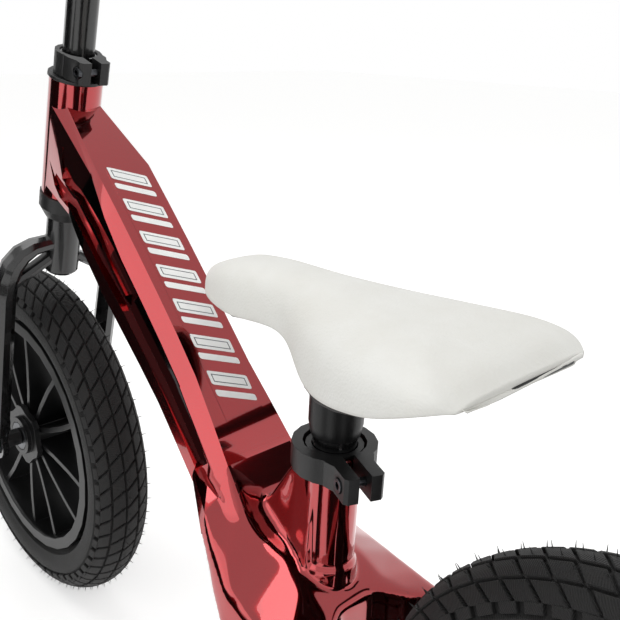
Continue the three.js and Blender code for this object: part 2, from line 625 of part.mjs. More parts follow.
// A split clamp about Z with two ears towards +X, its bolt hole running across Y.
function clampGeometry({ bore, height, wall, reach }) {
  const outer = bore + wall;
  const end = outer + reach;
  const ears = new THREE.Shape();
  ears.moveTo(0, -CLAMP_EAR_HALF_WIDTH - 3);
  ears.lineTo(outer - 4, -CLAMP_EAR_HALF_WIDTH - 3);
  ears.lineTo(outer + 2, -CLAMP_EAR_HALF_WIDTH);
  ears.lineTo(end - 2, -CLAMP_EAR_HALF_WIDTH);
  ears.lineTo(end, -CLAMP_EAR_HALF_WIDTH + 2);
  ears.lineTo(end, CLAMP_EAR_HALF_WIDTH - 2);
  ears.lineTo(end - 2, CLAMP_EAR_HALF_WIDTH);
  ears.lineTo(outer + 2, CLAMP_EAR_HALF_WIDTH);
  ears.lineTo(outer - 4, CLAMP_EAR_HALF_WIDTH + 3);
  ears.lineTo(0, CLAMP_EAR_HALF_WIDTH + 3);
  const block = new THREE.ExtrudeGeometry(ears, { depth: height, bevelEnabled: false });
  const hole = moved(crossRod(CLAMP_BOLT_RADIUS + GAP, -CLAMP_EAR_HALF_WIDTH - 1,
    CLAMP_EAR_HALF_WIDTH + 1, SMALL_SEGMENTS), outer + reach / 2, 0, height / 2);
  const pocket = moved(crossRod(CLAMP_BOLT_HEAD_RADIUS + GAP, -CLAMP_EAR_HALF_WIDTH - 1,
    boltHeadInner + GAP, SMALL_SEGMENTS), outer + reach / 2, 0, height / 2);
  return cut(join(rod(outer, 0, height), block),
    rod(bore, -1, height + 1), slotBlock(bore, end, height), hole, pocket);
}

const boltHeadInner = -CLAMP_EAR_HALF_WIDTH + CLAMP_BOLT_HEAD_HEIGHT - 1;
const slotBlock = (bore, end, height) =>
  block(bore / 2, end + 1, -CLAMP_SLOT / 2, CLAMP_SLOT / 2, -1, height + 1);

function clampBolt({ bore, height, wall, reach }) {
  const head = crossRod(CLAMP_BOLT_HEAD_RADIUS, boltHeadInner - CLAMP_BOLT_HEAD_HEIGHT,
    boltHeadInner, SMALL_SEGMENTS);
  const shank = crossRod(CLAMP_BOLT_RADIUS, boltHeadInner - 1, CLAMP_EAR_HALF_WIDTH - 1,
    SMALL_SEGMENTS);
  const socket = new THREE.CylinderGeometry(2.3, 2.3, 5, 6)
    .translate(0, boltHeadInner - CLAMP_BOLT_HEAD_HEIGHT, 0);
  return moved(cut(join(head, shank), socket), bore + wall + reach / 2, 0, height / 2);
}

// ------------------------------------------------------------------ handlebar

// The crossbar's middle line: flat at the stem, rising to each side, then straight
// ends that sweep back through the grips.
function crossbarPoints() {
  const flatHalf = 2 * BAR_RADIUS + BAR_BEND_START;
  const straightFrom = BAR_HALF_WIDTH - GRIP_LENGTH - BAR_BEND_START;
  const steps = 5;
  const half = Array.from({ length: steps + 1 }, (_, i) => lerp(flatHalf, straightFrom, i / steps));
  half.push(BAR_HALF_WIDTH);
  const at = (y) => new THREE.Vector3(
    (BAR_SWEEP * Math.max(0, Math.abs(y) - flatHalf)) / (BAR_HALF_WIDTH - flatHalf), y,
    BAR_HEIGHT + BAR_RISE * THREE.MathUtils.smootherstep(Math.abs(y), flatHalf, straightFrom),
  );
  return [...half.map((y) => -y).reverse(), ...half].map(at);
}

// A round bar through points that run from left to right.
function barThrough(points, radius, segments) {
  const last = points.length - 1;
  return loft(points.map((point, i) => {
    const towards = points[Math.min(last, i + 1)].clone().sub(points[Math.max(0, i - 1)]);
    const level = towards.clone().cross(new THREE.Vector3(0, 0, 1)).normalize();
    const up = level.clone().cross(towards).normalize();
    return Array.from({ length: segments }, (_, k) => {
      const angle = (k / segments) * 2 * Math.PI;
      return point.clone()
        .addScaledVector(level, radius * Math.cos(angle))
        .addScaledVector(up, radius * Math.sin(angle));
    });
  }));
}

function handlebarGeometry() {
  const points = crossbarPoints();
  const [first, last] = [points[0], points[points.length - 1]];
  const inner = BAR_RADIUS - BAR_WALL;
  const beyond = [
    first.clone().add(first.clone().sub(points[1]).setLength(1)), ...points.slice(1, -1),
    last.clone().add(last.clone().sub(points[points.length - 2]).setLength(1)),
  ];
  return cut(
    join(barThrough(points, BAR_RADIUS, SMALL_SEGMENTS + 4), rod(BAR_RADIUS, barFoot, BAR_HEIGHT)),
    barThrough(beyond, inner, SMALL_SEGMENTS),
    rod(inner, barFoot - 1, BAR_HEIGHT, SMALL_SEGMENTS),
  );
}

// A grip on the bar's straight end, closed at its outer end and flanged at its inner one.
function addGrip(side, sign) {
  const points = crossbarPoints();
  const [end, before] = sign > 0 ? points.slice(-2).reverse() : points;
  const towards = end.clone().sub(before);
  const bore = BAR_RADIUS + GAP;
  const profile = [
    [bore, -GRIP_LENGTH], [GRIP_FLANGE_RADIUS, -GRIP_LENGTH],
    [GRIP_FLANGE_RADIUS, GRIP_FLANGE_THICKNESS - GRIP_LENGTH],
    [GRIP_RADIUS, GRIP_FLANGE_THICKNESS - GRIP_LENGTH], [GRIP_RADIUS, GAP],
    [GRIP_RADIUS + 1.5, GAP + 1], [GRIP_RADIUS + 1.5, GAP + GRIP_END_WALL - 1],
    [GRIP_RADIUS, GAP + GRIP_END_WALL], [0, GAP + GRIP_END_WALL], [0, GAP], [bore, GAP],
    [bore, -GRIP_LENGTH],
  ];
  const geometry = turn(profile, SMALL_SEGMENTS + 4);
  const grip = addPart(`grip_${side}`, geometry, finishes.rubber, steeringGroup, end);
  grip.quaternion.setFromUnitVectors(new THREE.Vector3(0, 0, 1), towards.normalize());
}

// --------------------------------------------------------------------- saddle

const waistToWidest = (share) => lerp(SADDLE_WAIST_HALF_WIDTH, SADDLE_HALF_WIDTH, share);

// Outline from above, as half-widths, and lines from the side, by the share of the
// length behind the nose; heights are from the saddle's root.
const nose = (share) => SADDLE_NOSE_HALF_WIDTH * share;
const saddleOutline = [
  [0, nose(0.27)], [0.015, nose(0.46)], [0.06, nose(0.71)], [0.13, nose(0.885)], [0.2, nose(1)],
  [0.3, nose(0.98)], [0.38, SADDLE_WAIST_HALF_WIDTH], [0.43, waistToWidest(0.05)],
  [0.48, waistToWidest(0.21)], [0.54, waistToWidest(0.4)], [0.61, waistToWidest(0.58)],
  [0.7, waistToWidest(0.78)], [0.8, waistToWidest(0.94)], [0.88, SADDLE_HALF_WIDTH],
  [0.94, SADDLE_HALF_WIDTH * 0.97], [0.975, SADDLE_HALF_WIDTH * 0.9],
  [1, SADDLE_HALF_WIDTH * 0.76],
];
const ofCrown = ([share, part]) => [share, part * SADDLE_CROWN];
const saddleTopLine = [
  [0, 0.62], [0.04, 0.8], [0.13, 0.95], [0.25, 0.99], [0.4, 1], [0.6, 0.97], [0.9, 0.94], [0.97, 0.86],
  [1, 0.76],
].map(ofCrown);
const saddleSkirtLine = [
  [0, 0.42], [0.11, 0.32], [0.2, 0.29], [0.3, 0.34], [0.39, 0.36], [0.45, 0.26], [0.485, 0.12],
  [0.54, 0.02], [0.61, 0], [0.7, 0.1], [0.82, 0.27], [0.95, 0.54], [1, 0.63],
].map(ofCrown);

// Stations along the saddle, closer together towards its ends.
const saddleStations = [
  0, 0.012, 0.035, 0.07, 0.13, 0.2, 0.3, 0.38, 0.43, 0.48, 0.54, 0.61, 0.7, 0.8, 0.88, 0.94, 0.975, 1,
];

// A dome inside the saddle's outer shape, between two stations: in by `side`, its top
// `under` the padding, or the padding's own top where that is null, and its lower edge
// `lift` above the skirt's.
function saddleDome({ side, under = null, lift, from = 0, to = saddleStations.length - 1 }) {
  const arcSteps = 10;
  const rings = [];
  for (let i = from; i <= to; i += 1) {
    const share = saddleStations[i];
    const nudge = Math.max(0, side - SADDLE_SKIRT_WALL);
    const shift = (i === from ? nudge : 0) - (i === to ? nudge : 0);
    const x = share * SADDLE_LENGTH - SADDLE_NOSE_AHEAD + shift;
    const half = along(saddleOutline, share) - side;
    const skirt = along(saddleSkirtLine, share);
    const height = along(saddleTopLine, share) - skirt;
    const inset = under === null ? 0 : Math.min(SADDLE_PADDING, 0.45 * height) + under;
    const foot = skirt + SADDLE_PAN_RECESS + 1;
    const rise = height - inset - SADDLE_PAN_RECESS - 1;
    const ringPoints = [new THREE.Vector3(x, half, skirt + lift)];
    for (let k = 0; k <= arcSteps; k += 1) {
      const angle = (Math.PI * k) / arcSteps;
      const [c, s] = [Math.cos(angle), Math.sin(angle)];
      ringPoints.push(new THREE.Vector3(x,
        half * Math.sign(c) * Math.abs(c) ** 0.52, foot + rise * Math.abs(s) ** 0.44));
    }
    ringPoints.push(new THREE.Vector3(x, -half, skirt + lift));
    rings.push(ringPoints);
  }
  return loft(rings);
}

const padStation = saddleStations.length - 3;
const panStation = padStation - 1;
const belowSkirt = -8;

function saddleCoverGeometry() {
  const hollow = { side: SADDLE_SKIRT_WALL, under: 0, lift: belowSkirt, from: 1, to: padStation };
  return cut(saddleDome({ side: 0, lift: 0 }), saddleDome(hollow));
}

function saddleBaseGeometry() {
  const outer = { side: SADDLE_SKIRT_WALL + GAP, under: GAP, from: 1, to: panStation };
  const inner = {
    ...outer, side: outer.side + SADDLE_PAN_WALL, under: GAP + SADDLE_PAN_WALL, lift: belowSkirt,
  };
  const tilt = (geometry) => geometry.rotateY(radians(SEAT_LEAN));
  const tall = saddleDome({ ...outer, lift: -COLLAR_DROP - SADDLE_CROWN });
  const collar = common(tall, tilt(turn([
    [0, -COLLAR_DROP], [postBore + 1, -COLLAR_DROP], [COLLAR_RADIUS, COLLAR_BEVEL - COLLAR_DROP],
    [COLLAR_RADIUS, SADDLE_CROWN], [0, SADDLE_CROWN],
  ])));
  const socket = tilt(rod(postBore, -COLLAR_DROP - 1, COLLAR_SOCKET));
  const pan = cut(saddleDome({ ...outer, lift: SADDLE_PAN_RECESS }), saddleDome(inner));
  return cut(join(pan, collar), socket);
}

// ---------------------------------------------------------------------- frame

const neckStart = onSteering(0, headTubeTop - NECK_DROP);
const neckEnd = onSteering(NECK_REACH, headTubeBottom + NECK_RISE);
const beamEnd = onSeat(0, 0).add(new THREE.Vector3(-BEAM_END_AHEAD, 0, BEAM_END_RISE));

// The top line of the beam, steepening as it runs down from the neck to the yoke.
function beamTopCurve() {
  const chord = beamEnd.clone().sub(neckEnd).normalize();
  const middle = neckEnd.clone().lerp(beamEnd, BEAM_BOW_SHARE)
    .addScaledVector(new THREE.Vector3(-chord.z, 0, chord.x), BEAM_BOW);
  return new THREE.QuadraticBezierCurve3(neckEnd, middle, beamEnd);
}

// What the beam measures at a share of the way from the neck to the yoke.
function beamSize(share) {
  const flare = Math.max(0, share - 0.6) / 0.4;
  return {
    depth: lerp(BEAM_DEPTH_AT_NECK, BEAM_DEPTH_AT_YOKE, share ** 1.5),
    top: BEAM_TOP_HALF_WIDTH + 8 * flare,
    side: lerp(BEAM_HALF_WIDTH - 5, BEAM_HALF_WIDTH, Math.min(1, share / 0.18)) + 6 * flare,
  };
}

// A flat section across the mid-plane from a point on the top line.
function beamRing(point, inward, { depth, top, side, flare = BEAM_FLARE }) {
  const drop = side - top;
  const belly = side - BEAM_BELLY_CHAMFER;
  const half = [
    [top, 0], [side - flare, Math.min(drop, BEAM_CHAMFER)], [side, depth - BEAM_BELLY_CHAMFER],
    [belly, depth],
  ];
  const ringHalf = (sign) => half.map(([y, down]) =>
    point.clone().addScaledVector(inward, down).add(new THREE.Vector3(0, sign * y, 0)));
  return [...ringHalf(1), ...ringHalf(-1).reverse()];
}

const across = (curve, share) => {
  const tangent = curve.getTangent(share);
  return new THREE.Vector3(tangent.z, 0, -tangent.x);
};

function beamGeometry() {
  const curve = beamTopCurve();
  const down = new THREE.Vector3(0, 0, -1).applyEuler(steeringGroup.rotation);
  const neckDepth = neckStart.distanceTo(onSteering(0, headTubeBottom)) - 4;
  const rings = [
    beamRing(neckStart, down,
      { depth: neckDepth, top: NECK_HALF_WIDTH, side: NECK_SIDE_HALF_WIDTH, flare: 0 }),
  ];
  const steps = 8;
  for (let i = 0; i <= steps; i += 1) {
    const share = i / steps;
    rings.push(beamRing(curve.getPoint(share), across(curve, share), beamSize(share)));
  }
  return loft(rings);
}

// A cutter for a groove in the beam's side, lofted through sections. A section is
// [place, upper, lower, share]: the place runs from -1 at the neck's start through 0 at
// its end to 1 at the yoke, upper and lower are depths of the groove's two edges below
// the top line, and share is how much of its full depth it has there.
function grooveCutter(sign, sections) {
  const curve = beamTopCurve();
  const down = new THREE.Vector3(0, 0, -1).applyEuler(steeringGroup.rotation);
  return loft(sections.map(([place, upper, lower, share]) => {
    const up = Math.max(0, -place);
    const along = Math.max(0, place);
    const point = curve.getPoint(along).lerp(neckStart, up);
    const inward = across(curve, along).lerp(down, up).normalize();
    const side = lerp(beamSize(along).side, NECK_SIDE_HALF_WIDTH, up);
    const floor = side - GROOVE_DEPTH * share;
    const slant = GROOVE_SLANT * share;
    const rim = side - BEAM_FLARE * (1 - up);
    const ratio = slant / (rim - floor + GAP);
    const outer = side + GROOVE_CUTTER;
    return [
      [floor, upper + slant], [outer, upper - ratio * (outer - rim)],
      [outer, lower + 2], [floor, lower - 1],
    ].map(([y, downBy]) =>
      point.clone().addScaledVector(inward, downBy).add(new THREE.Vector3(0, sign * y, 0)));
  }));
}

// Two grooves run back from the neck with a thin raised line between them, which ends
// where they join into one broad recess that closes on a slant at the yoke.
const grooveFoot = (place) => lerp(GROOVE_FOOT_AT_NECK, GROOVE_FOOT_AT_YOKE, place);
const ridgeLow = RIDGE_DEPTH + RIDGE_WIDTH / 2;
const ridgeHigh = RIDGE_DEPTH - RIDGE_WIDTH / 2;
const lowerGroove = [
  [-0.88, ridgeLow + 17, ridgeLow + 18.5, 0], [-0.6, ridgeLow + 15, ridgeLow + 25, 0.6],
  [-0.35, ridgeLow + 11.5, ridgeLow + 24, 1], [0, ridgeLow + 6.5, grooveFoot(0) + 6, 1],
  [0.14, ridgeLow, grooveFoot(0.14) + 2, 1], [0.33, ridgeLow - 1.5, grooveFoot(0.33), 1],
  [0.36, ridgeHigh - 1.5, grooveFoot(0.36), 1],
];
const upperGroove = [
  [-0.59, 16, 17.5, 0], [-0.4, ridgeHigh + 2, ridgeHigh + 12, 0.6],
  [-0.15, ridgeHigh + 2, ridgeHigh + 8.5, 0.8], [0, ridgeHigh - 1, ridgeHigh + 6, 1],
  [0.05, BEAM_CHAMFER + 10, ridgeHigh + 4, 1], [0.12, BEAM_CHAMFER + 5.5, ridgeHigh, 1],
  [0.2, BEAM_CHAMFER + 2, ridgeHigh - 1, 1], [0.33, BEAM_CHAMFER + 1, ridgeHigh - 1.5, 1],
  [0.36, BEAM_CHAMFER + 1, grooveFoot(0.36), 1], [0.6, BEAM_CHAMFER + 1, grooveFoot(0.6), 1],
  [GROOVE_END, BEAM_CHAMFER + 1, grooveFoot(1), 1],
];

// The yoke and both stays as one broad body; the wheel well is cut from it.
// Lines are given by distance from the seat tube's foot, heights from that foot.
function yokeGeometry() {
  const foot = onSeat(0, 0);
  const rear = rearAxle.x - foot.x;
  const axleRise = rearAxle.z - foot.z;
  const stayTop = -STAY_TOP_BELOW_FOOT;
  const crest = [
    [-YOKE_REACH, 44], [-BEAM_END_AHEAD, 25], [-27, 14], [-11, 8.5], [23, -9.5],
    [40, stayTop + 2], [rear - DROPOUT_TAPER, axleRise + 12], [rear, axleRise + 9],
  ];
  const crestHalf = [[-YOKE_REACH, 24], [-BEAM_END_AHEAD, 28], [-11, 22], [23, 25], [60, 46],
    [rear - DROPOUT_TAPER, 43], [rear, 42]];
  const crease = [
    [-YOKE_REACH, 44], [4 - YOKE_REACH, 41], [-60, 22], [-44, 5], [-27, -8.5],
    [3, stayTop + 5], [36, stayTop], [rear - STAY_TAPER, stayTop - 4], [rear - DROPOUT_TAPER, axleRise + 11],
    [rear, axleRise + 8],
  ];
  const side = STAY_HALF_WIDTH;
  const creaseHalf = [
    [-YOKE_REACH, side - 28], [4 - YOKE_REACH, side - 22], [-60, side - 15.3],
    [-44, side - 10], [-27, side - 5], [3, side - 2.5], [rear - STAY_TAPER, side - 1],
    [rear - DROPOUT_TAPER, dropoutOuter + 3], [rear, dropoutOuter],
  ];
  const belly = [
    [-YOKE_REACH, 38], [4 - YOKE_REACH, 36], [-62, 10], [-44, -16], [-27, -33],
    [3, stayTop + 5 - STAY_DEPTH], [36, stayTop - STAY_DEPTH],
    [rear - STAY_TAPER, stayTop - 4 - STAY_DEPTH], [rear - DROPOUT_TAPER, axleRise - 11], [rear, axleRise - 8],
  ];
  const places = [...new Set([...crest, ...crease, ...belly].map(([x]) => x))].sort((a, b) => a - b);
  const rings = places.map((place) => {
    const [top, fold, bottom] = [crest, crease, belly].map((line) => along(line, place));
    const [topHalf, foldHalf] = [crestHalf, creaseHalf].map((line) => along(line, place));
    const flare = Math.min(STAY_FLARE, (fold - bottom) * 0.2) * (place < rear - 60 ? 1 : 0);
    const half = [
      [topHalf, top], [foldHalf, fold], [foldHalf + flare, bottom + 2], [foldHalf + flare - 2, bottom],
    ];
    const ringHalf = (sign) => half.map(([y, z]) =>
      new THREE.Vector3(foot.x + place, sign * y, foot.z + z));
    return [...ringHalf(1), ...ringHalf(-1).reverse()];
  });
  return loft(rings);
}

// The space for the rear wheel, seen from above, open to the rear.
function wheelWellGeometry() {
  const front = rearAxle.x - TYRE_RADIUS - WHEEL_WELL_CLEARANCE;
  const half = DROPOUT_HALF_SPACING;
  const slope = (half - WHEEL_WELL_FRONT_HALF_WIDTH) * 0.6;
  const rear = rearAxle.x + 2 * DROPOUT_RADIUS;
  const outline = new THREE.Shape([
    [front, -WHEEL_WELL_FRONT_HALF_WIDTH], [front + slope, -half], [rear, -half],
    [rear, half], [front + slope, half], [front, WHEEL_WELL_FRONT_HALF_WIDTH],
  ].map(([x, y]) => new THREE.Vector2(x, y)));
  return new THREE.ExtrudeGeometry(outline, { depth: 2 * SEAT_FOOT_HEIGHT, bevelEnabled: false });
}

// The web that rises from the beam's end to the front of the seat tube.
function gussetGeometry() {
  const foot = onSeat(0, 0);
  const top = onSeat(0, GUSSET_RISE);
  const rings = [
    [-BEAM_END_AHEAD - 4, BEAM_END_RISE - 4, BEAM_END_RISE + 2.6, GUSSET_HALF_WIDTH],
    [-SEAT_TUBE_RADIUS - 6, 0, GUSSET_RISE, GUSSET_HALF_WIDTH],
    [0, 0, GUSSET_RISE, SEAT_TUBE_RADIUS - 0.6],
  ].map(([x, low, high, half]) => [
    [half, high - 2], [half - 2, high], [2 - half, high], [-half, high - 2], [-half - 4, low], [half + 4, low],
  ].map(([y, z]) => new THREE.Vector3(foot.x + x + (top.x - foot.x) / 2, y, foot.z + z)));
  return loft(rings);
}

function frameGeometry() {
  const headTube = onSteeringAxis(rod(HEAD_TUBE_RADIUS, headTubeBottom, headTubeTop, 28));
  const seatTube = onSeatAxis(turn([
    [0, -30], [SEAT_TUBE_RADIUS, -30], [SEAT_TUBE_RADIUS + SEAT_TUBE_FLARE, -3],
    [SEAT_TUBE_RADIUS + SEAT_TUBE_FLARE, 6],
    [SEAT_TUBE_RADIUS, SEAT_TUBE_FLARE_HEIGHT],
    [SEAT_TUBE_RADIUS, seatClampBottom - SEAT_TUBE_HEAD_TAPER],
    [SEAT_TUBE_HEAD_RADIUS, seatClampBottom + 0.5], [SEAT_TUBE_HEAD_RADIUS, SEAT_TUBE_TOP],
    [0, SEAT_TUBE_TOP],
  ], 24));
  const dropouts = [-1, 1].map((sign) => {
    const inner = sign > 0 ? DROPOUT_HALF_SPACING : -dropoutOuter;
    return crossRod(DROPOUT_RADIUS, inner, inner + DROPOUT_THICKNESS)
      .translate(rearAxle.x, 0, rearAxle.z);
  });
  const axleHole = crossRod(axleBore, -dropoutOuter - 20, dropoutOuter + 20, SMALL_SEGMENTS)
    .translate(rearAxle.x, 0, rearAxle.z);
  const nutRoom = [-1, 1].map((sign) => {
    const from = sign > 0 ? dropoutOuter : -dropoutOuter - 20;
    return crossRod(WASHER_RADIUS + 2, from, from + 20, SMALL_SEGMENTS)
      .translate(rearAxle.x, 0, rearAxle.z);
  });
  const grooves = [-1, 1].flatMap((sign) =>
    [grooveCutter(sign, lowerGroove), grooveCutter(sign, upperGroove)]);
  const beam = cut(join(headTube, beamGeometry()), ...grooves);
  const stays = cut(yokeGeometry(), wheelWellGeometry());
  const body = join(beam, stays, seatTube, gussetGeometry(), ...dropouts);
  return cut(body,
    onSteeringAxis(rod(headTubeBore, headTubeBottom - 1, headTubeTop + 1)),
    onSeatAxis(rod(seatTubeBore, -2 * STAY_DEPTH - 20, SEAT_TUBE_TOP + 1)),
    axleHole, ...nutRoom);
}

// ------------------------------------------------------------------- assembly

addPart('frame', frameGeometry(), finishes.candyRed);
addWheel('front', frontAxle);
addWheel('rear', rearAxle);

addPart('fork', forkGeometry(), finishes.glossBlack, steeringGroup);
addPart('headset_lower_cup', lowerCup, finishes.glossBlack, steeringGroup);
addPart('headset_upper_cup', upperCup, finishes.glossBlack, steeringGroup);
addPart('headset_lower_bearing', lowerBearing, finishes.steel, steeringGroup);
addPart('headset_upper_bearing', upperBearing, finishes.steel, steeringGroup);
addPart('crown_race', crownRace, finishes.steel, steeringGroup);

const stemClampPlace = new THREE.Vector3(0, 0, stemClampBottom);
const stemClamp = {
  bore: steererFit, height: STEM_CLAMP_HEIGHT, wall: STEM_CLAMP_WALL, reach: STEM_CLAMP_EARS,
};
addPart('stem_clamp', clampGeometry(stemClamp), finishes.satinBlack, steeringGroup, stemClampPlace);
addPart('stem_clamp_bolt', clampBolt(stemClamp), finishes.steel, steeringGroup, stemClampPlace);
addPart('handlebar', handlebarGeometry(), finishes.glossBlack, steeringGroup);
addGrip('left', -1);
addGrip('right', 1);

const seatClamp = {
  bore: SEAT_TUBE_HEAD_RADIUS + GAP, height: SEAT_CLAMP_HEIGHT, wall: SEAT_CLAMP_WALL,
  reach: SEAT_CLAMP_EARS,
};
const seatClampGroup = new THREE.Group();
seatClampGroup.position.set(0, 0, seatClampBottom);
seatClampGroup.rotation.z = radians(SEAT_CLAMP_TURN);
seatGroup.add(seatClampGroup);
addPart('seat_clamp', clampGeometry(seatClamp), finishes.satinBlack, seatClampGroup);
addPart('seat_clamp_bolt', clampBolt(seatClamp), finishes.steel, seatClampGroup);
const shim = turn([
  [postBore, SEAT_TUBE_TOP - SHIM_LENGTH], [shimRadius, SEAT_TUBE_TOP - SHIM_LENGTH],
  [shimRadius, SEAT_TUBE_TOP + GAP], [SEAT_TUBE_HEAD_RADIUS - 1, SEAT_TUBE_TOP + GAP],
  [SEAT_TUBE_HEAD_RADIUS - 1, SEAT_TUBE_TOP + SHIM_FLANGE], [postBore, SEAT_TUBE_TOP + SHIM_FLANGE],
  [postBore, SEAT_TUBE_TOP - SHIM_LENGTH],
]);
addPart('seat_tube_shim', shim, finishes.satinBlack, seatGroup);
addPart('seatpost', ring(POST_RADIUS - POST_WALL, POST_RADIUS,
  SEAT_TUBE_TOP - POST_INSERTION, postTop), finishes.steel, seatGroup);
addPart('saddle_base', saddleBaseGeometry(), finishes.satinBlack, saddleGroup);
addPart('saddle_cover', saddleCoverGeometry(), finishes.vinyl, saddleGroup);

export default bike;
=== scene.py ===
# A twelve-inch balance bike in candy-red lacquer, with moulded black wheels on
# pneumatic tyres, a black fork, bar and clamps, and a white padded saddle.
# The sections follow the bike as it is put together, and the room comes last.
# Lengths are metres, and a pattern's scale is how many of it lie in one metre.

import math

import bmesh
import bpy
import numpy as np
from mathutils import Matrix, Vector


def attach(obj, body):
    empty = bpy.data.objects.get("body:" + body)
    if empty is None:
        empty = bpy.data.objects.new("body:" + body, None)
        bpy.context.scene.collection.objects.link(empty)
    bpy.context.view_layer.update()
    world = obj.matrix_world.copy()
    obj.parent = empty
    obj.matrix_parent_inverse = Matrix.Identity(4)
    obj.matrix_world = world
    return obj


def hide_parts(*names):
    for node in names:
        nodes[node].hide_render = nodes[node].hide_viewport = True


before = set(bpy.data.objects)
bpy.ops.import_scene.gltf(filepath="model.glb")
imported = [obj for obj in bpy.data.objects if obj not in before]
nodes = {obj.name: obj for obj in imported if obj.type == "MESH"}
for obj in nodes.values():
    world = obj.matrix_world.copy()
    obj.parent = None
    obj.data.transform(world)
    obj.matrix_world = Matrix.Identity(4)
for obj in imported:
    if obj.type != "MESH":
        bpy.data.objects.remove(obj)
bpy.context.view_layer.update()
bpy.ops.object.select_all(action="DESELECT")

# Frame: one hollow cast aluminium body, candy red. A bright metallic base shows
# through a tinted clear lacquer, so it mirrors the room in red under a hard skin.
# Casting rounds every edge by about a millimetre and a half.
FRAME_EDGE, FRAME_STEPS = 0.0016, 3
FRAME_FLAT, PIECE_FLAT = 0.08, 0.8
WELD = 0.00002
HARD_TURN, SHADE_TURN, CUT_TURN = 28, 40, 30


def linear(colour):
    """A six-figure sRGB colour as the linear values that a shader reads."""
    parts = [int(colour[i:i + 2], 16) / 255 for i in (1, 3, 5)]
    return [p / 12.92 if p <= 0.04045 else ((p + 0.055) / 1.055) ** 2.4 for p in parts] + [1.0]


def add_node(tree, kind, inputs=None, stops=(), **settings):
    """A new shader node with its settings and colour stops, each input set or linked."""
    made = tree.nodes.new(kind)
    for name, value in settings.items():
        setattr(made, name, value)
    for number, (at, colour) in enumerate(stops):
        made.color_ramp.elements[number].position = at
        made.color_ramp.elements[number].color = linear(colour)
    for name, value in (inputs or {}).items():
        socket = made.inputs[name]
        if isinstance(value, tuple) and isinstance(value[0], bpy.types.Node):
            tree.links.new(value[0].outputs[value[1]], socket)
        elif isinstance(value, bpy.types.Node):
            tree.links.new(value.outputs[0], socket)
        else:
            socket.default_value = value
    return made


def finish_material(name, **values):
    """A new material, its node tree and its Principled shader with these values."""
    material = bpy.data.materials.new(name)
    material.use_nodes = True
    shader = material.node_tree.nodes["Principled BSDF"]
    for socket, value in values.items():
        shader.inputs[socket.replace("_", " ")].default_value = value
    return material, material.node_tree, shader


def feed(shader, **sources):
    """Links a node to each of these sockets of a material's shader."""
    for socket, source in sources.items():
        shader.id_data.links.new(source.outputs[0], shader.inputs[socket.replace("_", " ")])


def cover(piece, material):
    """Gives a piece this one material."""
    piece.data.materials.clear()
    piece.data.materials.append(material)


def select_only(piece):
    """Selects this piece alone and makes it the active one."""
    bpy.ops.object.select_all(action="DESELECT")
    piece.select_set(True)
    bpy.context.view_layer.objects.active = piece


def shape(piece, kind, **settings):
    """Adds a modifier with these settings to the active piece and applies it."""
    modifier = piece.modifiers.new(kind.lower(), kind)
    for name, value in settings.items():
        setattr(modifier, name, value)
    bpy.ops.object.modifier_apply(modifier=modifier.name)


def level_normals(piece):
    """Keeps the shading of broad faces flat up to the rounding at their edges."""
    select_only(piece)
    shape(piece, "WEIGHTED_NORMAL", mode="FACE_AREA", weight=50, keep_sharp=True)


def worked_copy(node, body, edge, steps=2, flat=PIECE_FLAT):
    """A merged copy of a CAD node with its hard edges rounded, which stands for it."""
    piece = bpy.data.objects.new(node + "_finished", nodes[node].data.copy())
    bpy.context.scene.collection.objects.link(piece)
    select_only(piece)
    bpy.ops.object.mode_set(mode="EDIT")
    bpy.ops.mesh.select_all(action="SELECT")
    bpy.ops.mesh.remove_doubles(threshold=WELD)
    bpy.ops.mesh.dissolve_limited(angle_limit=math.radians(flat))
    bpy.ops.object.mode_set(mode="OBJECT")
    if edge:
        shape(
            piece, "BEVEL", width=edge, segments=steps, limit_method="ANGLE",
            angle_limit=math.radians(HARD_TURN), use_clamp_overlap=True, harden_normals=False,
        )
    bpy.ops.object.shade_smooth_by_angle(angle=math.radians(SHADE_TURN))
    level_normals(piece)
    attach(piece, body)
    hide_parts(node)
    return piece


# The lacquer's base is a dark, clean red. Flakes finer than the eye can part are
# drawn at 0.35 mm, and polishing leaves a slow unevenness and a few dull spots.
lacquer, lacquer_tree, lacquer_shader = finish_material(
    "candy_red_lacquer", Metallic=1.0, Coat_Weight=1.0, Coat_Roughness=0.02, Coat_IOR=1.7
)
place = add_node(lacquer_tree, "ShaderNodeTexCoord")
depth = add_node(
    lacquer_tree, "ShaderNodeTexNoise",
    {"Vector": (place, "Object"), "Scale": 9.0, "Detail": 2.0, "Roughness": 0.5},
)
flake = add_node(lacquer_tree, "ShaderNodeTexVoronoi", {"Vector": (place, "Object"), "Scale": 2800.0})
reds = add_node(
    lacquer_tree, "ShaderNodeValToRGB", {"Fac": depth}, stops=((0.3, "#9A1118"), (0.7, "#A6151C"))
)
glint = add_node(
    lacquer_tree, "ShaderNodeMapRange", {"Value": (flake, "Color"), "To Min": 0.93, "To Max": 1.07}
)
tinted = add_node(
    lacquer_tree, "ShaderNodeMixRGB", {"Fac": 1.0, "Color1": reds, "Color2": glint}, blend_type="MULTIPLY"
)
dull = add_node(lacquer_tree, "ShaderNodeMapRange", {"Value": depth, "To Min": 0.07, "To Max": 0.13})
slow = add_node(
    lacquer_tree, "ShaderNodeTexNoise",
    {"Vector": (place, "Object"), "Scale": 60.0, "Detail": 1.0, "Roughness": 0.4},
)
polish = add_node(lacquer_tree, "ShaderNodeBump", {"Height": slow, "Strength": 0.04, "Distance": 0.001})
feed(lacquer_shader, Base_Color=tinted, Roughness=dull, Normal=polish)

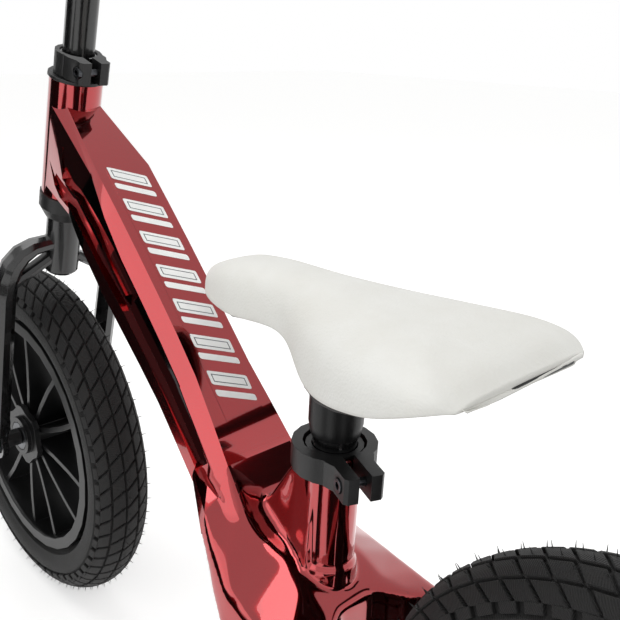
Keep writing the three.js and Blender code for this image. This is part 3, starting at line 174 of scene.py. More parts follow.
# On the floors of the beam's side grooves the lacquer carries painted shade: a near-black
# base under a thin coat, so they stay dark and mirror little from any side.
groove_painted_shade = lacquer.copy()
groove_painted_shade.name = "candy_red_lacquer_painted_groove_shade"
groove_painted_shade.node_tree.nodes["Principled BSDF"].inputs["Coat Weight"].default_value = 0.12
groove_shade_reds = groove_painted_shade.node_tree.nodes[reds.name].color_ramp.elements
groove_shade_reds[0].color, groove_shade_reds[1].color = linear("#080103"), linear("#0C0204")

# The yoke behind the beam is drawn as one flowing skin, while the beam ahead of it
# keeps its crisp edges and its grooves. The two meet in a cut across the beam's foot.
SKIN_CUT, SKIN_LAP, CUT_OVERLAP = 0.020, 0.014, 0.0001
SKIN_VOXEL = 0.0011
YOKE_FROM, YOKE_FULL, YOKE_LAST, YOKE_TO = 0.021, 0.034, 0.15, 0.215
FLOW_TURNS, SOFTEN_TURNS = 80, 3
FAINT_SHARE = 0.01
SEAT_AXIS, SEAT_LEAN, SEAT_FOOT_BELOW = Vector((0.081, 0.0, 0.2)), 0.026, 0.02
SEAT_TUBE_KEPT, SEAT_TUBE_FADE = 0.0165, 0.004
# The groove floors, which take the painted shade, are found by their way off the middle,
# their run along the bike and how squarely they face sideways.
GROOVE_FLOOR, GROOVE_RUN, GROOVE_FACING = (0.0232, 0.0276), (-0.15, 0.012), 0.97
frame_body = worked_copy("frame", "frame", FRAME_EDGE, FRAME_STEPS, FRAME_FLAT)
bpy.ops.object.duplicate()
yoke_body = bpy.context.object


def cut_across(part, at, keep_front):
    """Cuts a part across the bike, keeps one side of it and closes the cut."""
    cut = bmesh.new()
    cut.from_mesh(part.data)
    bmesh.ops.bisect_plane(
        cut, geom=cut.verts[:] + cut.edges[:] + cut.faces[:], plane_co=(at, 0, 0), plane_no=(1, 0, 0),
        clear_outer=keep_front, clear_inner=not keep_front,
    )
    bmesh.ops.edgenet_fill(cut, edges=[edge for edge in cut.edges if edge.is_boundary])
    bmesh.ops.recalc_face_normals(cut, faces=cut.faces)
    cut.to_mesh(part.data)
    cut.free()
    select_only(part)
    bpy.ops.object.shade_smooth_by_angle(angle=math.radians(CUT_TURN))


def flow_share(x, y, z):
    """How freely the yoke's skin flows at a point: not by the beam nor on the seat tube."""
    share = min(1.0, max(0.0, (x - YOKE_FROM) / (YOKE_FULL - YOKE_FROM)))
    share *= min(1.0, max(0.0, (YOKE_TO - x) / (YOKE_TO - YOKE_LAST)))
    if z > SEAT_AXIS.z - SEAT_FOOT_BELOW:
        from_post = math.hypot(x - SEAT_AXIS.x - SEAT_LEAN * (z - SEAT_AXIS.z), y)
        share *= min(1.0, max(0.0, (from_post - SEAT_TUBE_KEPT) / SEAT_TUBE_FADE))
    return share


cut_across(frame_body, SKIN_CUT, True)
cut_across(yoke_body, SKIN_CUT - SKIN_LAP, False)
select_only(yoke_body)
shape(yoke_body, "REMESH", mode="VOXEL", voxel_size=SKIN_VOXEL)
yoke = yoke_body.vertex_groups.new(name="yoke")
for vertex in yoke_body.data.vertices:
    share = flow_share(*vertex.co)
    if share > FAINT_SHARE:
        yoke.add([vertex.index], share, "REPLACE")
shape(yoke_body, "SMOOTH", factor=0.5, iterations=FLOW_TURNS, vertex_group="yoke")
shape(yoke_body, "SMOOTH", factor=0.5, iterations=SOFTEN_TURNS)
yoke_body.vertex_groups.clear()
cut_across(yoke_body, SKIN_CUT - CUT_OVERLAP, False)
select_only(frame_body)
yoke_body.select_set(True)
bpy.ops.object.join()
level_normals(frame_body)
cover(frame_body, lacquer)
# The groove floors get the copy of the lacquer with painted shade, and all other faces get the lacquer.
frame_body.data.materials.append(groove_painted_shade)
for face in frame_body.data.polygons:
    x, y, _ = face.center
    painted_shade_floor = GROOVE_FLOOR[0] < abs(y) < GROOVE_FLOOR[1] and abs(face.normal.y) > GROOVE_FACING
    face.material_index = int(painted_shade_floor and GROOVE_RUN[0] < x < GROOVE_RUN[1])

# Beam graphics: clear film stuck along the beam's top, printed with plain slanted
# bars, a wide and a narrow one in turn. Each is white, the wide one with a thin dark
# line inside. Film and bars are held above the beam and then pressed down on it.
FILM_TOP, FILM_FOOT = Vector((-0.1275, 0.0008, 0.4060)), Vector((0.0055, 0.0008, 0.2665))
FILM_HALF_WIDE, FILM_CORNER, FILM_SHEET = 0.0146, 0.0022, 0.0001
FILM_ABOVE, PRINT_ABOVE, HELD_ABOVE = 0.00016, 0.0003, 0.02
PRINT_HALF_WIDE = 0.0132
BAR_LEAN = 0.42
BAR_CORNER, CORNER_SHARE, CORNER_STEPS = 0.0014, 0.3, 4
INK_INSET, INK_LINE = 0.0021, 0.0006
BARS = ((0.0085, 0.0098), (0.0192, 0.0046))  # a bar's middle in its group, and its width
BAR_GROUPS, GROUP_PITCH = 7, 0.0262
CELLS_LONG, CELLS_ACROSS = 4, 10
film_run = FILM_FOOT - FILM_TOP
film_turn = Matrix.Rotation(math.atan2(-film_run.z, film_run.x), 4, "Y")
film_middle = Matrix.Translation((FILM_TOP + FILM_FOOT) / 2)
film_place = film_middle @ film_turn @ Matrix.Translation((0, 0, HELD_ABOVE))
leaning = Matrix.Identity(4)
leaning[0][1] = BAR_LEAN


def laid_on_beam(piece, above):
    """Presses a flat piece on the beam's top: it takes a thickness and the beam's shine."""
    piece.matrix_world = film_place
    select_only(piece)
    shape(
        piece, "SHRINKWRAP", wrap_method="PROJECT", target=frame_body, use_project_z=True,
        use_negative_direction=True, use_positive_direction=False, offset=above,
    )
    shape(piece, "SOLIDIFY", thickness=FILM_SHEET, offset=-1.0)
    shape(
        piece, "DATA_TRANSFER", object=frame_body, use_loop_data=True,
        data_types_loops={"CUSTOM_NORMAL"}, loop_mapping="POLYINTERP_NEAREST",
    )
    bpy.ops.object.transform_apply(location=True, rotation=True, scale=True)


bpy.ops.object.select_all(action="DESELECT")
bpy.ops.mesh.primitive_grid_add(x_subdivisions=30, y_subdivisions=6, size=1.0)
film = bpy.context.object
film.name = "beam_film"
film.data.transform(Matrix.Diagonal((film_run.length, 2 * FILM_HALF_WIDE, 1, 1)))
sheet = bmesh.new()
sheet.from_mesh(film.data)
corners = [v for v in sheet.verts if len(v.link_edges) == 2]
bmesh.ops.bevel(
    sheet, geom=corners, offset=FILM_CORNER, segments=CORNER_STEPS, profile=0.5, affect="VERTICES"
)
sheet.to_mesh(film.data)
sheet.free()
laid_on_beam(film, FILM_ABOVE)
cover(film, lacquer)
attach(film, "frame")

# Screen ink on vinyl under its clear coat: nearly even, with the screen's fine grain.
white_ink, white_tree, white_shader = finish_material(
    "white_printed_vinyl", Coat_Weight=0.7, Coat_Roughness=0.08, Roughness=0.4
)
place = add_node(white_tree, "ShaderNodeTexCoord")
cast = add_node(
    white_tree, "ShaderNodeTexNoise", {"Vector": (place, "Object"), "Scale": 110.0, "Detail": 4.0}
)
ink_whites = add_node(
    white_tree, "ShaderNodeValToRGB", {"Fac": cast}, stops=((0.3, "#EDEEEC"), (0.7, "#F6F6F4"))
)
dots = add_node(
    white_tree, "ShaderNodeTexNoise", {"Vector": (place, "Object"), "Scale": 1400.0, "Detail": 2.0}
)
dot_bump = add_node(white_tree, "ShaderNodeBump", {"Height": dots, "Strength": 0.1, "Distance": 0.0002})
feed(white_shader, Base_Color=ink_whites, Normal=dot_bump)
dark_ink, dark_tree, dark_shader = finish_material(
    "dark_printed_vinyl", Coat_Weight=0.7, Coat_Roughness=0.08, Roughness=0.4
)
place = add_node(dark_tree, "ShaderNodeTexCoord")
cast = add_node(
    dark_tree, "ShaderNodeTexNoise", {"Vector": (place, "Object"), "Scale": 300.0, "Detail": 4.0}
)
ink_darks = add_node(
    dark_tree, "ShaderNodeValToRGB", {"Fac": cast}, stops=((0.3, "#1F2A30"), (0.7, "#33424A"))
)
feed(dark_shader, Base_Color=ink_darks)


def middle_of(part):
    """The middle of a point, an edge or a face of a mesh."""
    points = getattr(part, "verts", (part,))
    return tuple(sum(point.co[way] for point in points) / len(points) for way in range(3))


def printed_bar(wide):
    """A flat upright bar, its dark line inset where it is wide enough for one."""
    bpy.ops.object.select_all(action="DESELECT")
    bpy.ops.mesh.primitive_plane_add(size=1.0)
    bar = bpy.context.object
    bar.data.transform(Matrix.Diagonal((wide, 2 * PRINT_HALF_WIDE, 1, 1)))
    lined = wide > 4 * INK_INSET
    bpy.ops.object.mode_set(mode="EDIT")
    bpy.ops.mesh.select_all(action="SELECT")
    if lined:
        bpy.ops.mesh.inset(thickness=INK_INSET)
        bpy.ops.mesh.inset(thickness=INK_LINE)
    bpy.ops.object.mode_set(mode="OBJECT")
    bar.data.materials.append(white_ink)
    bar.data.materials.append(dark_ink)
    for face in bar.data.polygons:
        from_rim = min(wide / 2 - abs(face.center.x), PRINT_HALF_WIDE - abs(face.center.y))
        face.material_index = int(lined and INK_INSET < from_rim < INK_INSET + INK_LINE)
    # Its corners are rounded, and it is cut into cells that can follow the beam.
    cuts = bmesh.new()
    cuts.from_mesh(bar.data)
    outer = [v for v in cuts.verts if v.is_boundary]
    corner = min(BAR_CORNER, CORNER_SHARE * wide)
    bmesh.ops.bevel(cuts, geom=outer, offset=corner, segments=CORNER_STEPS, profile=0.5, affect="VERTICES")
    for way, half, cells in (
        (Vector((1, 0, 0)), wide / 2, CELLS_LONG), (Vector((0, 1, 0)), PRINT_HALF_WIDE, CELLS_ACROSS),
    ):
        for cell in range(1, cells):
            at = way * half * (2 * cell / cells - 1)
            geometry = cuts.verts[:] + cuts.edges[:] + cuts.faces[:]
            bmesh.ops.bisect_plane(cuts, geom=geometry, plane_co=at, plane_no=way)
    # The cuts leave the mesh in no fixed order, so its parts are put in order of place.
    for parts in (cuts.verts, cuts.edges, cuts.faces):
        for number, part in enumerate(sorted(parts, key=middle_of)):
            part.index = number
        parts.sort()
    cuts.to_mesh(bar.data)
    cuts.free()
    return bar


bars = []
for group in range(BAR_GROUPS):
    for middle, wide in BARS:
        bar = printed_bar(wide)
        at = middle + group * GROUP_PITCH - film_run.length / 2
        bar.data.transform(Matrix.Translation((at, 0, 0)) @ leaning)
        laid_on_beam(bar, PRINT_ABOVE)
        bars.append(bar)
bpy.ops.object.select_all(action="DESELECT")
for bar in bars:
    bar.select_set(True)
bpy.context.view_layer.objects.active = bars[0]
bpy.ops.object.join()
bars[0].name = "beam_graphics"
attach(bars[0], "frame")

# Fork: welded steel tube, stove-enamelled gloss black over primer. The enamel keeps a
# soft orange-peel skin, its dimples some 2.6 mm apart, and is a little dusty.
FORK_EDGE = 0.0012
enamel, enamel_tree, enamel_shader = finish_material(
    "gloss_black_enamel", Coat_Weight=0.6, Coat_Roughness=0.06
)
place = add_node(enamel_tree, "ShaderNodeTexCoord")
cloud = add_node(
    enamel_tree, "ShaderNodeTexNoise",
    {"Vector": (place, "Object"), "Scale": 45.0, "Detail": 5.0, "Roughness": 0.6},
)
inks = add_node(
    enamel_tree, "ShaderNodeValToRGB", {"Fac": cloud}, stops=((0.3, "#090909"), (0.7, "#111112"))
)
shine = add_node(enamel_tree, "ShaderNodeMapRange", {"Value": cloud, "To Min": 0.16, "To Max": 0.3})
peel = add_node(
    enamel_tree, "ShaderNodeTexNoise", {"Vector": (place, "Object"), "Scale": 380.0, "Detail": 2.0}
)
peel_bump = add_node(enamel_tree, "ShaderNodeBump", {"Height": peel, "Strength": 0.12, "Distance": 0.0006})
feed(enamel_shader, Base_Color=inks, Roughness=shine, Normal=peel_bump)
cover(worked_copy("fork", "fork", FORK_EDGE), enamel)

# Headset: pressed aluminium cups and race on the head tube and the fork's crown. They
# are sprayed satin black, whose fine dry grain is drawn at 0.9 mm so that it shows.
CUP_EDGE, RACE_EDGE = 0.0005, 0.0002
satin, satin_tree, satin_shader = finish_material("satin_black_aluminium")
place = add_node(satin_tree, "ShaderNodeTexCoord")
speck = add_node(
    satin_tree, "ShaderNodeTexNoise",
    {"Vector": (place, "Object"), "Scale": 120.0, "Detail": 6.0, "Roughness": 0.7},
)
satins = add_node(
    satin_tree, "ShaderNodeValToRGB", {"Fac": speck}, stops=((0.3, "#0E0E0F"), (0.75, "#191919"))
)
satin_rough = add_node(satin_tree, "ShaderNodeMapRange", {"Value": speck, "To Min": 0.34, "To Max": 0.5})
spray = add_node(
    satin_tree, "ShaderNodeTexNoise", {"Vector": (place, "Object"), "Scale": 1100.0, "Detail": 2.0}
)
spray_bump = add_node(satin_tree, "ShaderNodeBump", {"Height": spray, "Strength": 0.25, "Distance": 0.0003})
feed(satin_shader, Base_Color=satins, Roughness=satin_rough, Normal=spray_bump)
for node in ("headset_lower_cup", "headset_upper_cup"):
    cover(worked_copy(node, "frame", CUP_EDGE), satin)
cover(worked_copy("crown_race", "fork", RACE_EDGE, 1), satin)

# Bearings, nuts, washers and bolts: turned steel, blackened in oil, which leaves a
# dark metal that shines where a spanner or a race has rubbed it. The turning marks
# are drawn at 1.1 mm so that they show.
BEARING_EDGE = 0.0002
steel, steel_tree, steel_shader = finish_material("oil_blackened_steel", Metallic=1.0)
place = add_node(steel_tree, "ShaderNodeTexCoord")
rubbed = add_node(
    steel_tree, "ShaderNodeTexNoise",
    {"Vector": (place, "Object"), "Scale": 260.0, "Detail": 5.0, "Roughness": 0.6},
)
metals = add_node(
    steel_tree, "ShaderNodeValToRGB", {"Fac": rubbed}, stops=((0.35, "#3A3B3E"), (0.72, "#6E7074"))
)
steel_rough = add_node(steel_tree, "ShaderNodeMapRange", {"Value": rubbed, "To Min": 0.22, "To Max": 0.42})
turned = add_node(
    steel_tree, "ShaderNodeTexNoise", {"Vector": (place, "Object"), "Scale": 900.0, "Detail": 2.0}
)
turned_bump = add_node(steel_tree, "ShaderNodeBump", {"Height": turned, "Strength": 0.15, "Distance": 0.0003})
feed(steel_shader, Base_Color=metals, Roughness=steel_rough, Normal=turned_bump)
for node in ("headset_lower_bearing", "headset_upper_bearing"):
    cover(worked_copy(node, "frame", BEARING_EDGE, 1), steel)

# Stem clamp: a split aluminium collar with two ears, drawn shut by one bolt whose
# socket head is sunk in the left ear.
STEM_CLAMP_EDGE = 0.0006
cover(worked_copy("stem_clamp", "fork", STEM_CLAMP_EDGE, 3), satin)

# Handlebar: one steel tube and its steerer post, enamelled like the fork. The lacquer
# mirrors neither it nor the grips, so the head of the frame stays calm.
handlebar = worked_copy("handlebar", "handlebar", 0)
cover(handlebar, enamel)
handlebar.visible_glossy = False

# Grips: soft black rubber with a flange at each inner end and rings to hold by. The
# moulded skin is dull and a little grey where hands have rubbed it.
GRIP_EDGE = 0.0008
grip_rubber, grip_tree, grip_shader = finish_material(
    "soft_black_rubber", Specular_IOR_Level=0.35, Roughness=0.7
)
place = add_node(grip_tree, "ShaderNodeTexCoord")
handled = add_node(
    grip_tree, "ShaderNodeTexNoise",
    {"Vector": (place, "Object"), "Scale": 90.0, "Detail": 6.0, "Roughness": 0.6},
)
grip_blacks = add_node(
    grip_tree, "ShaderNodeValToRGB", {"Fac": handled}, stops=((0.3, "#161617"), (0.7, "#242424"))
)
grip_matt = add_node(grip_tree, "ShaderNodeMapRange", {"Value": handled, "To Min": 0.58, "To Max": 0.78})
rings = add_node(
    grip_tree, "ShaderNodeTexWave", {"Vector": (place, "Object"), "Scale": 62.0, "Distortion": 0.0},
    bands_direction="Y",
)
ring_bump = add_node(grip_tree, "ShaderNodeBump", {"Height": rings, "Strength": 0.6, "Distance": 0.0012})
grip_grain = add_node(
    grip_tree, "ShaderNodeBump", {"Height": handled, "Normal": ring_bump, "Strength": 0.2, "Distance": 0.0004}
)
feed(grip_shader, Base_Color=grip_blacks, Roughness=grip_matt, Normal=grip_grain)
for node in ("grip_left", "grip_right"):
    grip = worked_copy(node, "handlebar", GRIP_EDGE, 3)
    cover(grip, grip_rubber)
    grip.visible_glossy = False

# Wheels: each moulded in one piece of glass-filled nylon, with twelve thin ribs in
# pairs, a lobed hub flange on each side and the rim's channel for the tyre. The
# mould's eroded grain is drawn at 1.1 mm. The valve is a capped rubber stem.
WHEEL_EDGE, VALVE_EDGE, WHEEL_BEARING_EDGE = 0.0009, 0.0004, 0.0003
nylon, nylon_tree, nylon_shader = finish_material("glass_filled_nylon", Specular_IOR_Level=0.35)
place = add_node(nylon_tree, "ShaderNodeTexCoord")
flow = add_node(
    nylon_tree, "ShaderNodeTexNoise",
    {"Vector": (place, "Object"), "Scale": 30.0, "Detail": 6.0, "Roughness": 0.6},
)
greys = add_node(
    nylon_tree, "ShaderNodeValToRGB", {"Fac": flow}, stops=((0.3, "#090909"), (0.72, "#121213"))
)
nylon_rough = add_node(nylon_tree, "ShaderNodeMapRange", {"Value": flow, "To Min": 0.28, "To Max": 0.42})
spark = add_node(
    nylon_tree, "ShaderNodeTexNoise", {"Vector": (place, "Object"), "Scale": 900.0, "Detail": 3.0}
)
spark_bump = add_node(nylon_tree, "ShaderNodeBump", {"Height": spark, "Strength": 0.2, "Distance": 0.0003})
feed(nylon_shader, Base_Color=greys, Roughness=nylon_rough, Normal=spark_bump)
for end in ("front", "rear"):
    cover(worked_copy(end + "_wheel", end + "_wheel", WHEEL_EDGE, 3), nylon)
    cover(worked_copy(end + "_valve", end + "_wheel", VALVE_EDGE), grip_rubber)
    for side in ("left", "right"):
        cover(worked_copy(f"{end}_bearing_{side}", end + "_wheel", WHEEL_BEARING_EDGE, 1), steel)

# Axle hardware: a threaded axle of dark steel, black spacers, steel washers and
# hexagon nuts, whose corners are broken by half a millimetre at most.
AXLE_EDGE, SPACER_EDGE, WASHER_EDGE, NUT_EDGE = 0.0004, 0.0003, 0.0002, 0.0005
for end, body in (("front", "fork"), ("rear", "frame")):
    cover(worked_copy(end + "_axle", body, AXLE_EDGE, 1), steel)
    for side in ("left", "right"):
        cover(worked_copy(f"{end}_spacer_{side}", body, SPACER_EDGE, 1), satin)
        cover(worked_copy(f"{end}_washer_{side}", body, WASHER_EDGE, 1), steel)
        cover(worked_copy(f"{end}_nut_{side}", body, NUT_EDGE), steel)

# Tyres: black rubber, twelve inch, the same at both ends. Each is moulded with five
# rows of blocks parted by slanted grooves, a row of small ones on each shoulder, and
# the thin hairs that the mould's vents leave. Rubber is matt, with road dust on it
# and a fine hatching from the mould.
TYRE_RING, TYRE_HALF = 0.125, 0.0235
AXLE_AHEAD = 0.283
TREAD, FOOT_SUNK = 0.0025, 0.0008
BLOCKS_ROUND, BLOCK_ROWS, ROW_PITCH, ROW_SHIFT = 60, (-2, -1, 0, 1, 2), 27.0, 0.13
BLOCK_LONG, BLOCK_WIDE, SLANT = 0.0135, 0.0094, 0.85
PAD_INSET, PAD_RISE = 0.055, 0.00035
SHOULDER_AT, SHOULDER_SHIFT, SHOULDER_LONG, SHOULDER_WIDE = 71.5, 0.3, BLOCK_LONG * 0.8, 0.0052
HAIRS_ROUND, HAIR_LONG, HAIR_FOOT, HAIR_TIP = 60, 0.0038, 0.00045, 0.0001
HAIR_ROWS = ((-62, 0.1), (-41, 0.6), (-24, 0.2), (-7, 0.8), (10, 0.4), (31, 0.0), (60, 0.7))
SIDEWALL, RIM_LINE, LINE_HIGH, WALL_BELOW = (78, 128), (118, 124), 0.0004, 0.0004
CARCASS_ROUND, CARCASS_ACROSS = 180, 56
TYRE_SHADE_TURN = 32
tyre_rubber, rubber_tree, rubber_shader = finish_material(
    "black_tyre_rubber", Specular_IOR_Level=0.3, Sheen_Weight=0.06, Sheen_Roughness=0.5
)
place = add_node(rubber_tree, "ShaderNodeTexCoord")
dust = add_node(
    rubber_tree, "ShaderNodeTexNoise",
    {"Vector": (place, "Object"), "Scale": 70.0, "Detail": 6.0, "Roughness": 0.65},
)
blacks = add_node(
    rubber_tree, "ShaderNodeValToRGB", {"Fac": dust}, stops=((0.3, "#0F0F10"), (0.72, "#1D1C1B"))
)
matt = add_node(rubber_tree, "ShaderNodeMapRange", {"Value": dust, "To Min": 0.52, "To Max": 0.8})
hatch_turn = add_node(
    rubber_tree, "ShaderNodeMapping", {"Vector": (place, "Object"), "Rotation": (0.6, math.radians(45), 0.7)}
)
hatch = add_node(
    rubber_tree, "ShaderNodeTexWave", {"Vector": hatch_turn, "Scale": 330.0, "Distortion": 0.0},
    bands_direction="X",
)
grit = add_node(
    rubber_tree, "ShaderNodeTexNoise", {"Vector": (place, "Object"), "Scale": 1500.0, "Detail": 3.0}
)
moulded = add_node(rubber_tree, "ShaderNodeMath", {0: hatch, 1: grit}, operation="ADD")
grain = add_node(rubber_tree, "ShaderNodeBump", {"Height": moulded, "Strength": 0.5, "Distance": 0.0004})
feed(rubber_shader, Base_Color=blacks, Roughness=matt, Normal=grain)


def bent_round(template, rows, count, name, shear):
    """Copies of a flat template laid round the tyre, in rows given by their angle,
    step and sizes, joined into one mesh about the wheel's centre."""
    points = np.array([v.co for v in template.vertices])
    faces = [tuple(p.vertices) for p in template.polygons]
    laid, made_of = [], []
    for angle, step, along, across in rows:
        for k in range(count):
            run = points[:, 0] * along + shear * (points[:, 1] * across + math.radians(angle) * TYRE_HALF)
            side = math.radians(angle) + points[:, 1] * across / TYRE_HALF
            height = TYRE_HALF - TREAD + points[:, 2]
            turn = 2 * math.pi * (k + step) / count + run / (TYRE_RING + TYRE_HALF)
            reach = TYRE_RING + height * np.cos(side)
            start = len(laid) * len(points)
            laid.append(np.stack([reach * np.cos(turn), height * np.sin(side), reach * np.sin(turn)], 1))
            made_of.extend(tuple(start + i for i in face) for face in faces)
    mesh = bpy.data.meshes.new(name)
    mesh.from_pydata(np.concatenate(laid).tolist(), [], made_of)
    mesh.update()
    return mesh


# One block, a pad on the flat with a raised top, whose foot is sunk in the carcass.
bpy.ops.object.select_all(action="DESELECT")
bpy.ops.mesh.primitive_cube_add(size=1.0, location=(0.0, 0.0, (TREAD - FOOT_SUNK) / 2))
block = bpy.context.object
block.scale = (1.0, 1.0, TREAD + FOOT_SUNK)
bpy.ops.object.transform_apply(location=True, rotation=False, scale=True)
bpy.ops.object.mode_set(mode="EDIT")
bpy.ops.mesh.select_all(action="DESELECT")
block_mesh = bmesh.from_edit_mesh(block.data)
for face in block_mesh.faces:
    face.select = face.normal.z > 0.9
block_mesh.select_flush(True)
bmesh.update_edit_mesh(block.data)
bpy.ops.mesh.inset(thickness=PAD_INSET, depth=0.0)
bpy.ops.transform.translate(value=(0.0, 0.0, PAD_RISE))
bpy.ops.mesh.subdivide(number_cuts=1)
bpy.ops.object.mode_set(mode="OBJECT")
block_template = block.data.copy()
bpy.data.objects.remove(block)

# One hair: a three-sided thorn.
bpy.ops.mesh.primitive_cone_add(
    vertices=3, radius1=HAIR_FOOT, radius2=HAIR_TIP, depth=HAIR_LONG, location=(0, 0, TREAD + HAIR_LONG / 2)
)
hair = bpy.context.object
bpy.ops.object.transform_apply(location=True, rotation=False, scale=False)
hair_template = hair.data.copy()
bpy.data.objects.remove(hair)

block_rows = [(ROW_PITCH * row, ROW_SHIFT * (row % 2), BLOCK_LONG, BLOCK_WIDE) for row in BLOCK_ROWS]
shoulder_rows = [(side * SHOULDER_AT, SHOULDER_SHIFT, SHOULDER_LONG, SHOULDER_WIDE) for side in (-1, 1)]
hair_rows = [(angle, step, 1.0, 1.0) for angle, step in HAIR_ROWS]
for end, middle in (("front", -AXLE_AHEAD), ("rear", AXLE_AHEAD)):
    bpy.ops.mesh.primitive_torus_add(
        major_radius=TYRE_RING, minor_radius=TYRE_HALF - TREAD, major_segments=CARCASS_ROUND,
        minor_segments=CARCASS_ACROSS, rotation=(math.radians(90), 0, 0),
    )
    tyre = bpy.context.object
    tyre.name = end + "_tyre_finished"
    bpy.ops.object.transform_apply(location=True, rotation=True, scale=True)
    # The sidewall is thicker than the tread's floor, with a raised line by the rim.
    carcass = bmesh.new()
    carcass.from_mesh(tyre.data)
    for vertex in carcass.verts:
        round_way = Vector((vertex.co.x, 0, vertex.co.z)).normalized() * TYRE_RING
        out = vertex.co - round_way
        lean = math.degrees(out.angle(round_way))
        swell = TREAD - WALL_BELOW if SIDEWALL[0] < lean < SIDEWALL[1] else 0.0
        swell += LINE_HIGH if RIM_LINE[0] < lean < RIM_LINE[1] else 0.0
        vertex.co = round_way + out.normalized() * (TYRE_HALF - TREAD + swell)
    carcass.to_mesh(tyre.data)
    carcass.free()
    for mesh in (
        bent_round(block_template, block_rows, BLOCKS_ROUND, "tread", SLANT),
        bent_round(block_template, shoulder_rows, BLOCKS_ROUND, "shoulders", 0.0),
        bent_round(hair_template, hair_rows, HAIRS_ROUND, "hairs", 0.0),
    ):
        part = bpy.data.objects.new(mesh.name, mesh)
        bpy.context.scene.collection.objects.link(part)
        part.select_set(True)
    tyre.select_set(True)
    bpy.context.view_layer.objects.active = tyre
    bpy.ops.object.join()
    tyre.data.transform(Matrix.Translation((middle, 0.0, TYRE_RING + TYRE_HALF)))
    select_only(tyre)
    bpy.ops.object.mode_set(mode="EDIT")
    bpy.ops.mesh.select_all(action="SELECT")
    bpy.ops.mesh.normals_make_consistent(inside=False)
    bpy.ops.object.mode_set(mode="OBJECT")
    bpy.ops.object.shade_smooth_by_angle(angle=math.radians(TYRE_SHADE_TURN))
    cover(tyre, tyre_rubber)
    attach(tyre, end + "_wheel")
    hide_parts(end + "_tyre")

# Seat clamp: a thick split collar of satin black aluminium on the seat tube's head,
# with a split shim of plastic inside, and the saddle's steel post through both.
SEAT_CLAMP_EDGE, SHIM_EDGE, POST_EDGE, BOLT_EDGE = 0.0009, 0.0003, 0.0003, 0.0003
cover(worked_copy("seat_clamp", "frame", SEAT_CLAMP_EDGE, 3), satin)
cover(worked_copy("seat_tube_shim", "frame", SHIM_EDGE, 1), nylon)
cover(worked_copy("seatpost", "saddle", POST_EDGE, 1), enamel)
for node, body in (("stem_clamp_bolt", "fork"), ("seat_clamp_bolt", "frame")):
    cover(worked_copy(node, body, BOLT_EDGE), steel)

# Saddle pan: a moulded shell of glass-filled nylon, with the post's collar under it
# and its rim hidden by the cover.
PAN_EDGE = 0.0006
cover(worked_copy("saddle_base", "saddle", PAN_EDGE), nylon)

# Saddle cover: white leatherette over foam, glued down to the pan's edge. The foam
# fills it tight, so it swells a little between its edges and has no seams.
# Its coating is matt and faintly uneven, and its pores are drawn at 1.1 mm.
leatherette, leather_tree, leather_shader = finish_material(
    "white_leatherette", Specular_IOR_Level=0.4, Sheen_Weight=0.08, Sheen_Roughness=0.4
)
place = add_node(leather_tree, "ShaderNodeTexCoord")
worn = add_node(
    leather_tree, "ShaderNodeTexNoise",
    {"Vector": (place, "Object"), "Scale": 22.0, "Detail": 5.0, "Roughness": 0.6},
)
whites = add_node(
    leather_tree, "ShaderNodeValToRGB", {"Fac": worn}, stops=((0.3, "#DAD9D3"), (0.72, "#E2E2DE"))
)
leather_rough = add_node(leather_tree, "ShaderNodeMapRange", {"Value": worn, "To Min": 0.5, "To Max": 0.64})
pores = add_node(
    leather_tree, "ShaderNodeTexVoronoi", {"Vector": (place, "Object"), "Scale": 900.0}, feature="SMOOTH_F1"
)
folds = add_node(
    leather_tree, "ShaderNodeTexNoise", {"Vector": (place, "Object"), "Scale": 600.0, "Detail": 3.0}
)
hide = add_node(leather_tree, "ShaderNodeMath", {0: (pores, "Distance"), 1: folds}, operation="ADD")
hide_bump = add_node(leather_tree, "ShaderNodeBump", {"Height": hide, "Strength": 0.28, "Distance": 0.0005})
feed(leather_shader, Base_Color=whites, Roughness=leather_rough, Normal=hide_bump)

# The shape's lines run from nose to tail. Each point gives a share of the length and
# the half width there, or the top's or skirt's share of the crown's rise.
SADDLE_ROOT = Vector((0.08427, 0.0, 0.32496))
SADDLE_LONG, NOSE_AHEAD, CROWN_RISE = 0.221, 0.108, 0.05
WAIST, WIDEST = 0.025, 0.063
OUTLINE = (
    (0, 0.007), (0.015, 0.012), (0.06, 0.0185), (0.13, 0.023), (0.2, 0.026), (0.3, 0.0255), (0.38, WAIST),
    (0.43, 0.0269), (0.48, 0.033), (0.54, 0.0402), (0.61, 0.047), (0.7, 0.0546), (0.8, 0.0607),
    (0.88, WIDEST), (0.94, 0.0611), (0.975, 0.0567), (1, 0.0479),
)
TOP_LINE = (
    (0, 0.62), (0.04, 0.8), (0.13, 0.95), (0.25, 0.99), (0.4, 1), (0.6, 0.97), (0.86, 0.95),
    (0.92, 0.915), (0.96, 0.86), (0.985, 0.78), (1, 0.69),
)
SKIRT_LINE = (
    (0, 0.42), (0.11, 0.32), (0.2, 0.29), (0.3, 0.34), (0.39, 0.36), (0.45, 0.26), (0.485, 0.12),
    (0.54, 0.02), (0.61, 0), (0.7, 0.1), (0.82, 0.27), (0.95, 0.54), (1, 0.63),
)
EASED_OVER, EASED_POINTS = 0.018, 7
REAR_FROM, REAR_POINTS = 0.88, 49
STATIONS, ROUND = 64, 36
SIDE_POWER, CROWN_POWER = 0.6, 0.52
END_INSET = 0.002
MELT_TURNS, STRETCH_TURNS = 6, 3
FOAM_PRESSURE, SWELL_FRAMES, SWELL = 4.0, 20, 0.0012
COVER_WALL = 0.0024


def eased(line, share):
    """A line's value at a share of the length, eased over its neighbours."""
    at, value = zip(*line)
    near = np.clip(share + np.linspace(-EASED_OVER, EASED_OVER, EASED_POINTS), 0, 1)
    return float(np.interp(near, at, value).mean())


def rear_share(y):
    """The share of the length where the outline's rear end is this far off the middle."""
    shares = np.linspace(REAR_FROM, 1.0, REAR_POINTS)
    halves = [eased(OUTLINE, s) for s in shares]
    return float(np.interp(-abs(y), [-h for h in halves], shares)) if abs(y) > halves[-1] else 1.0


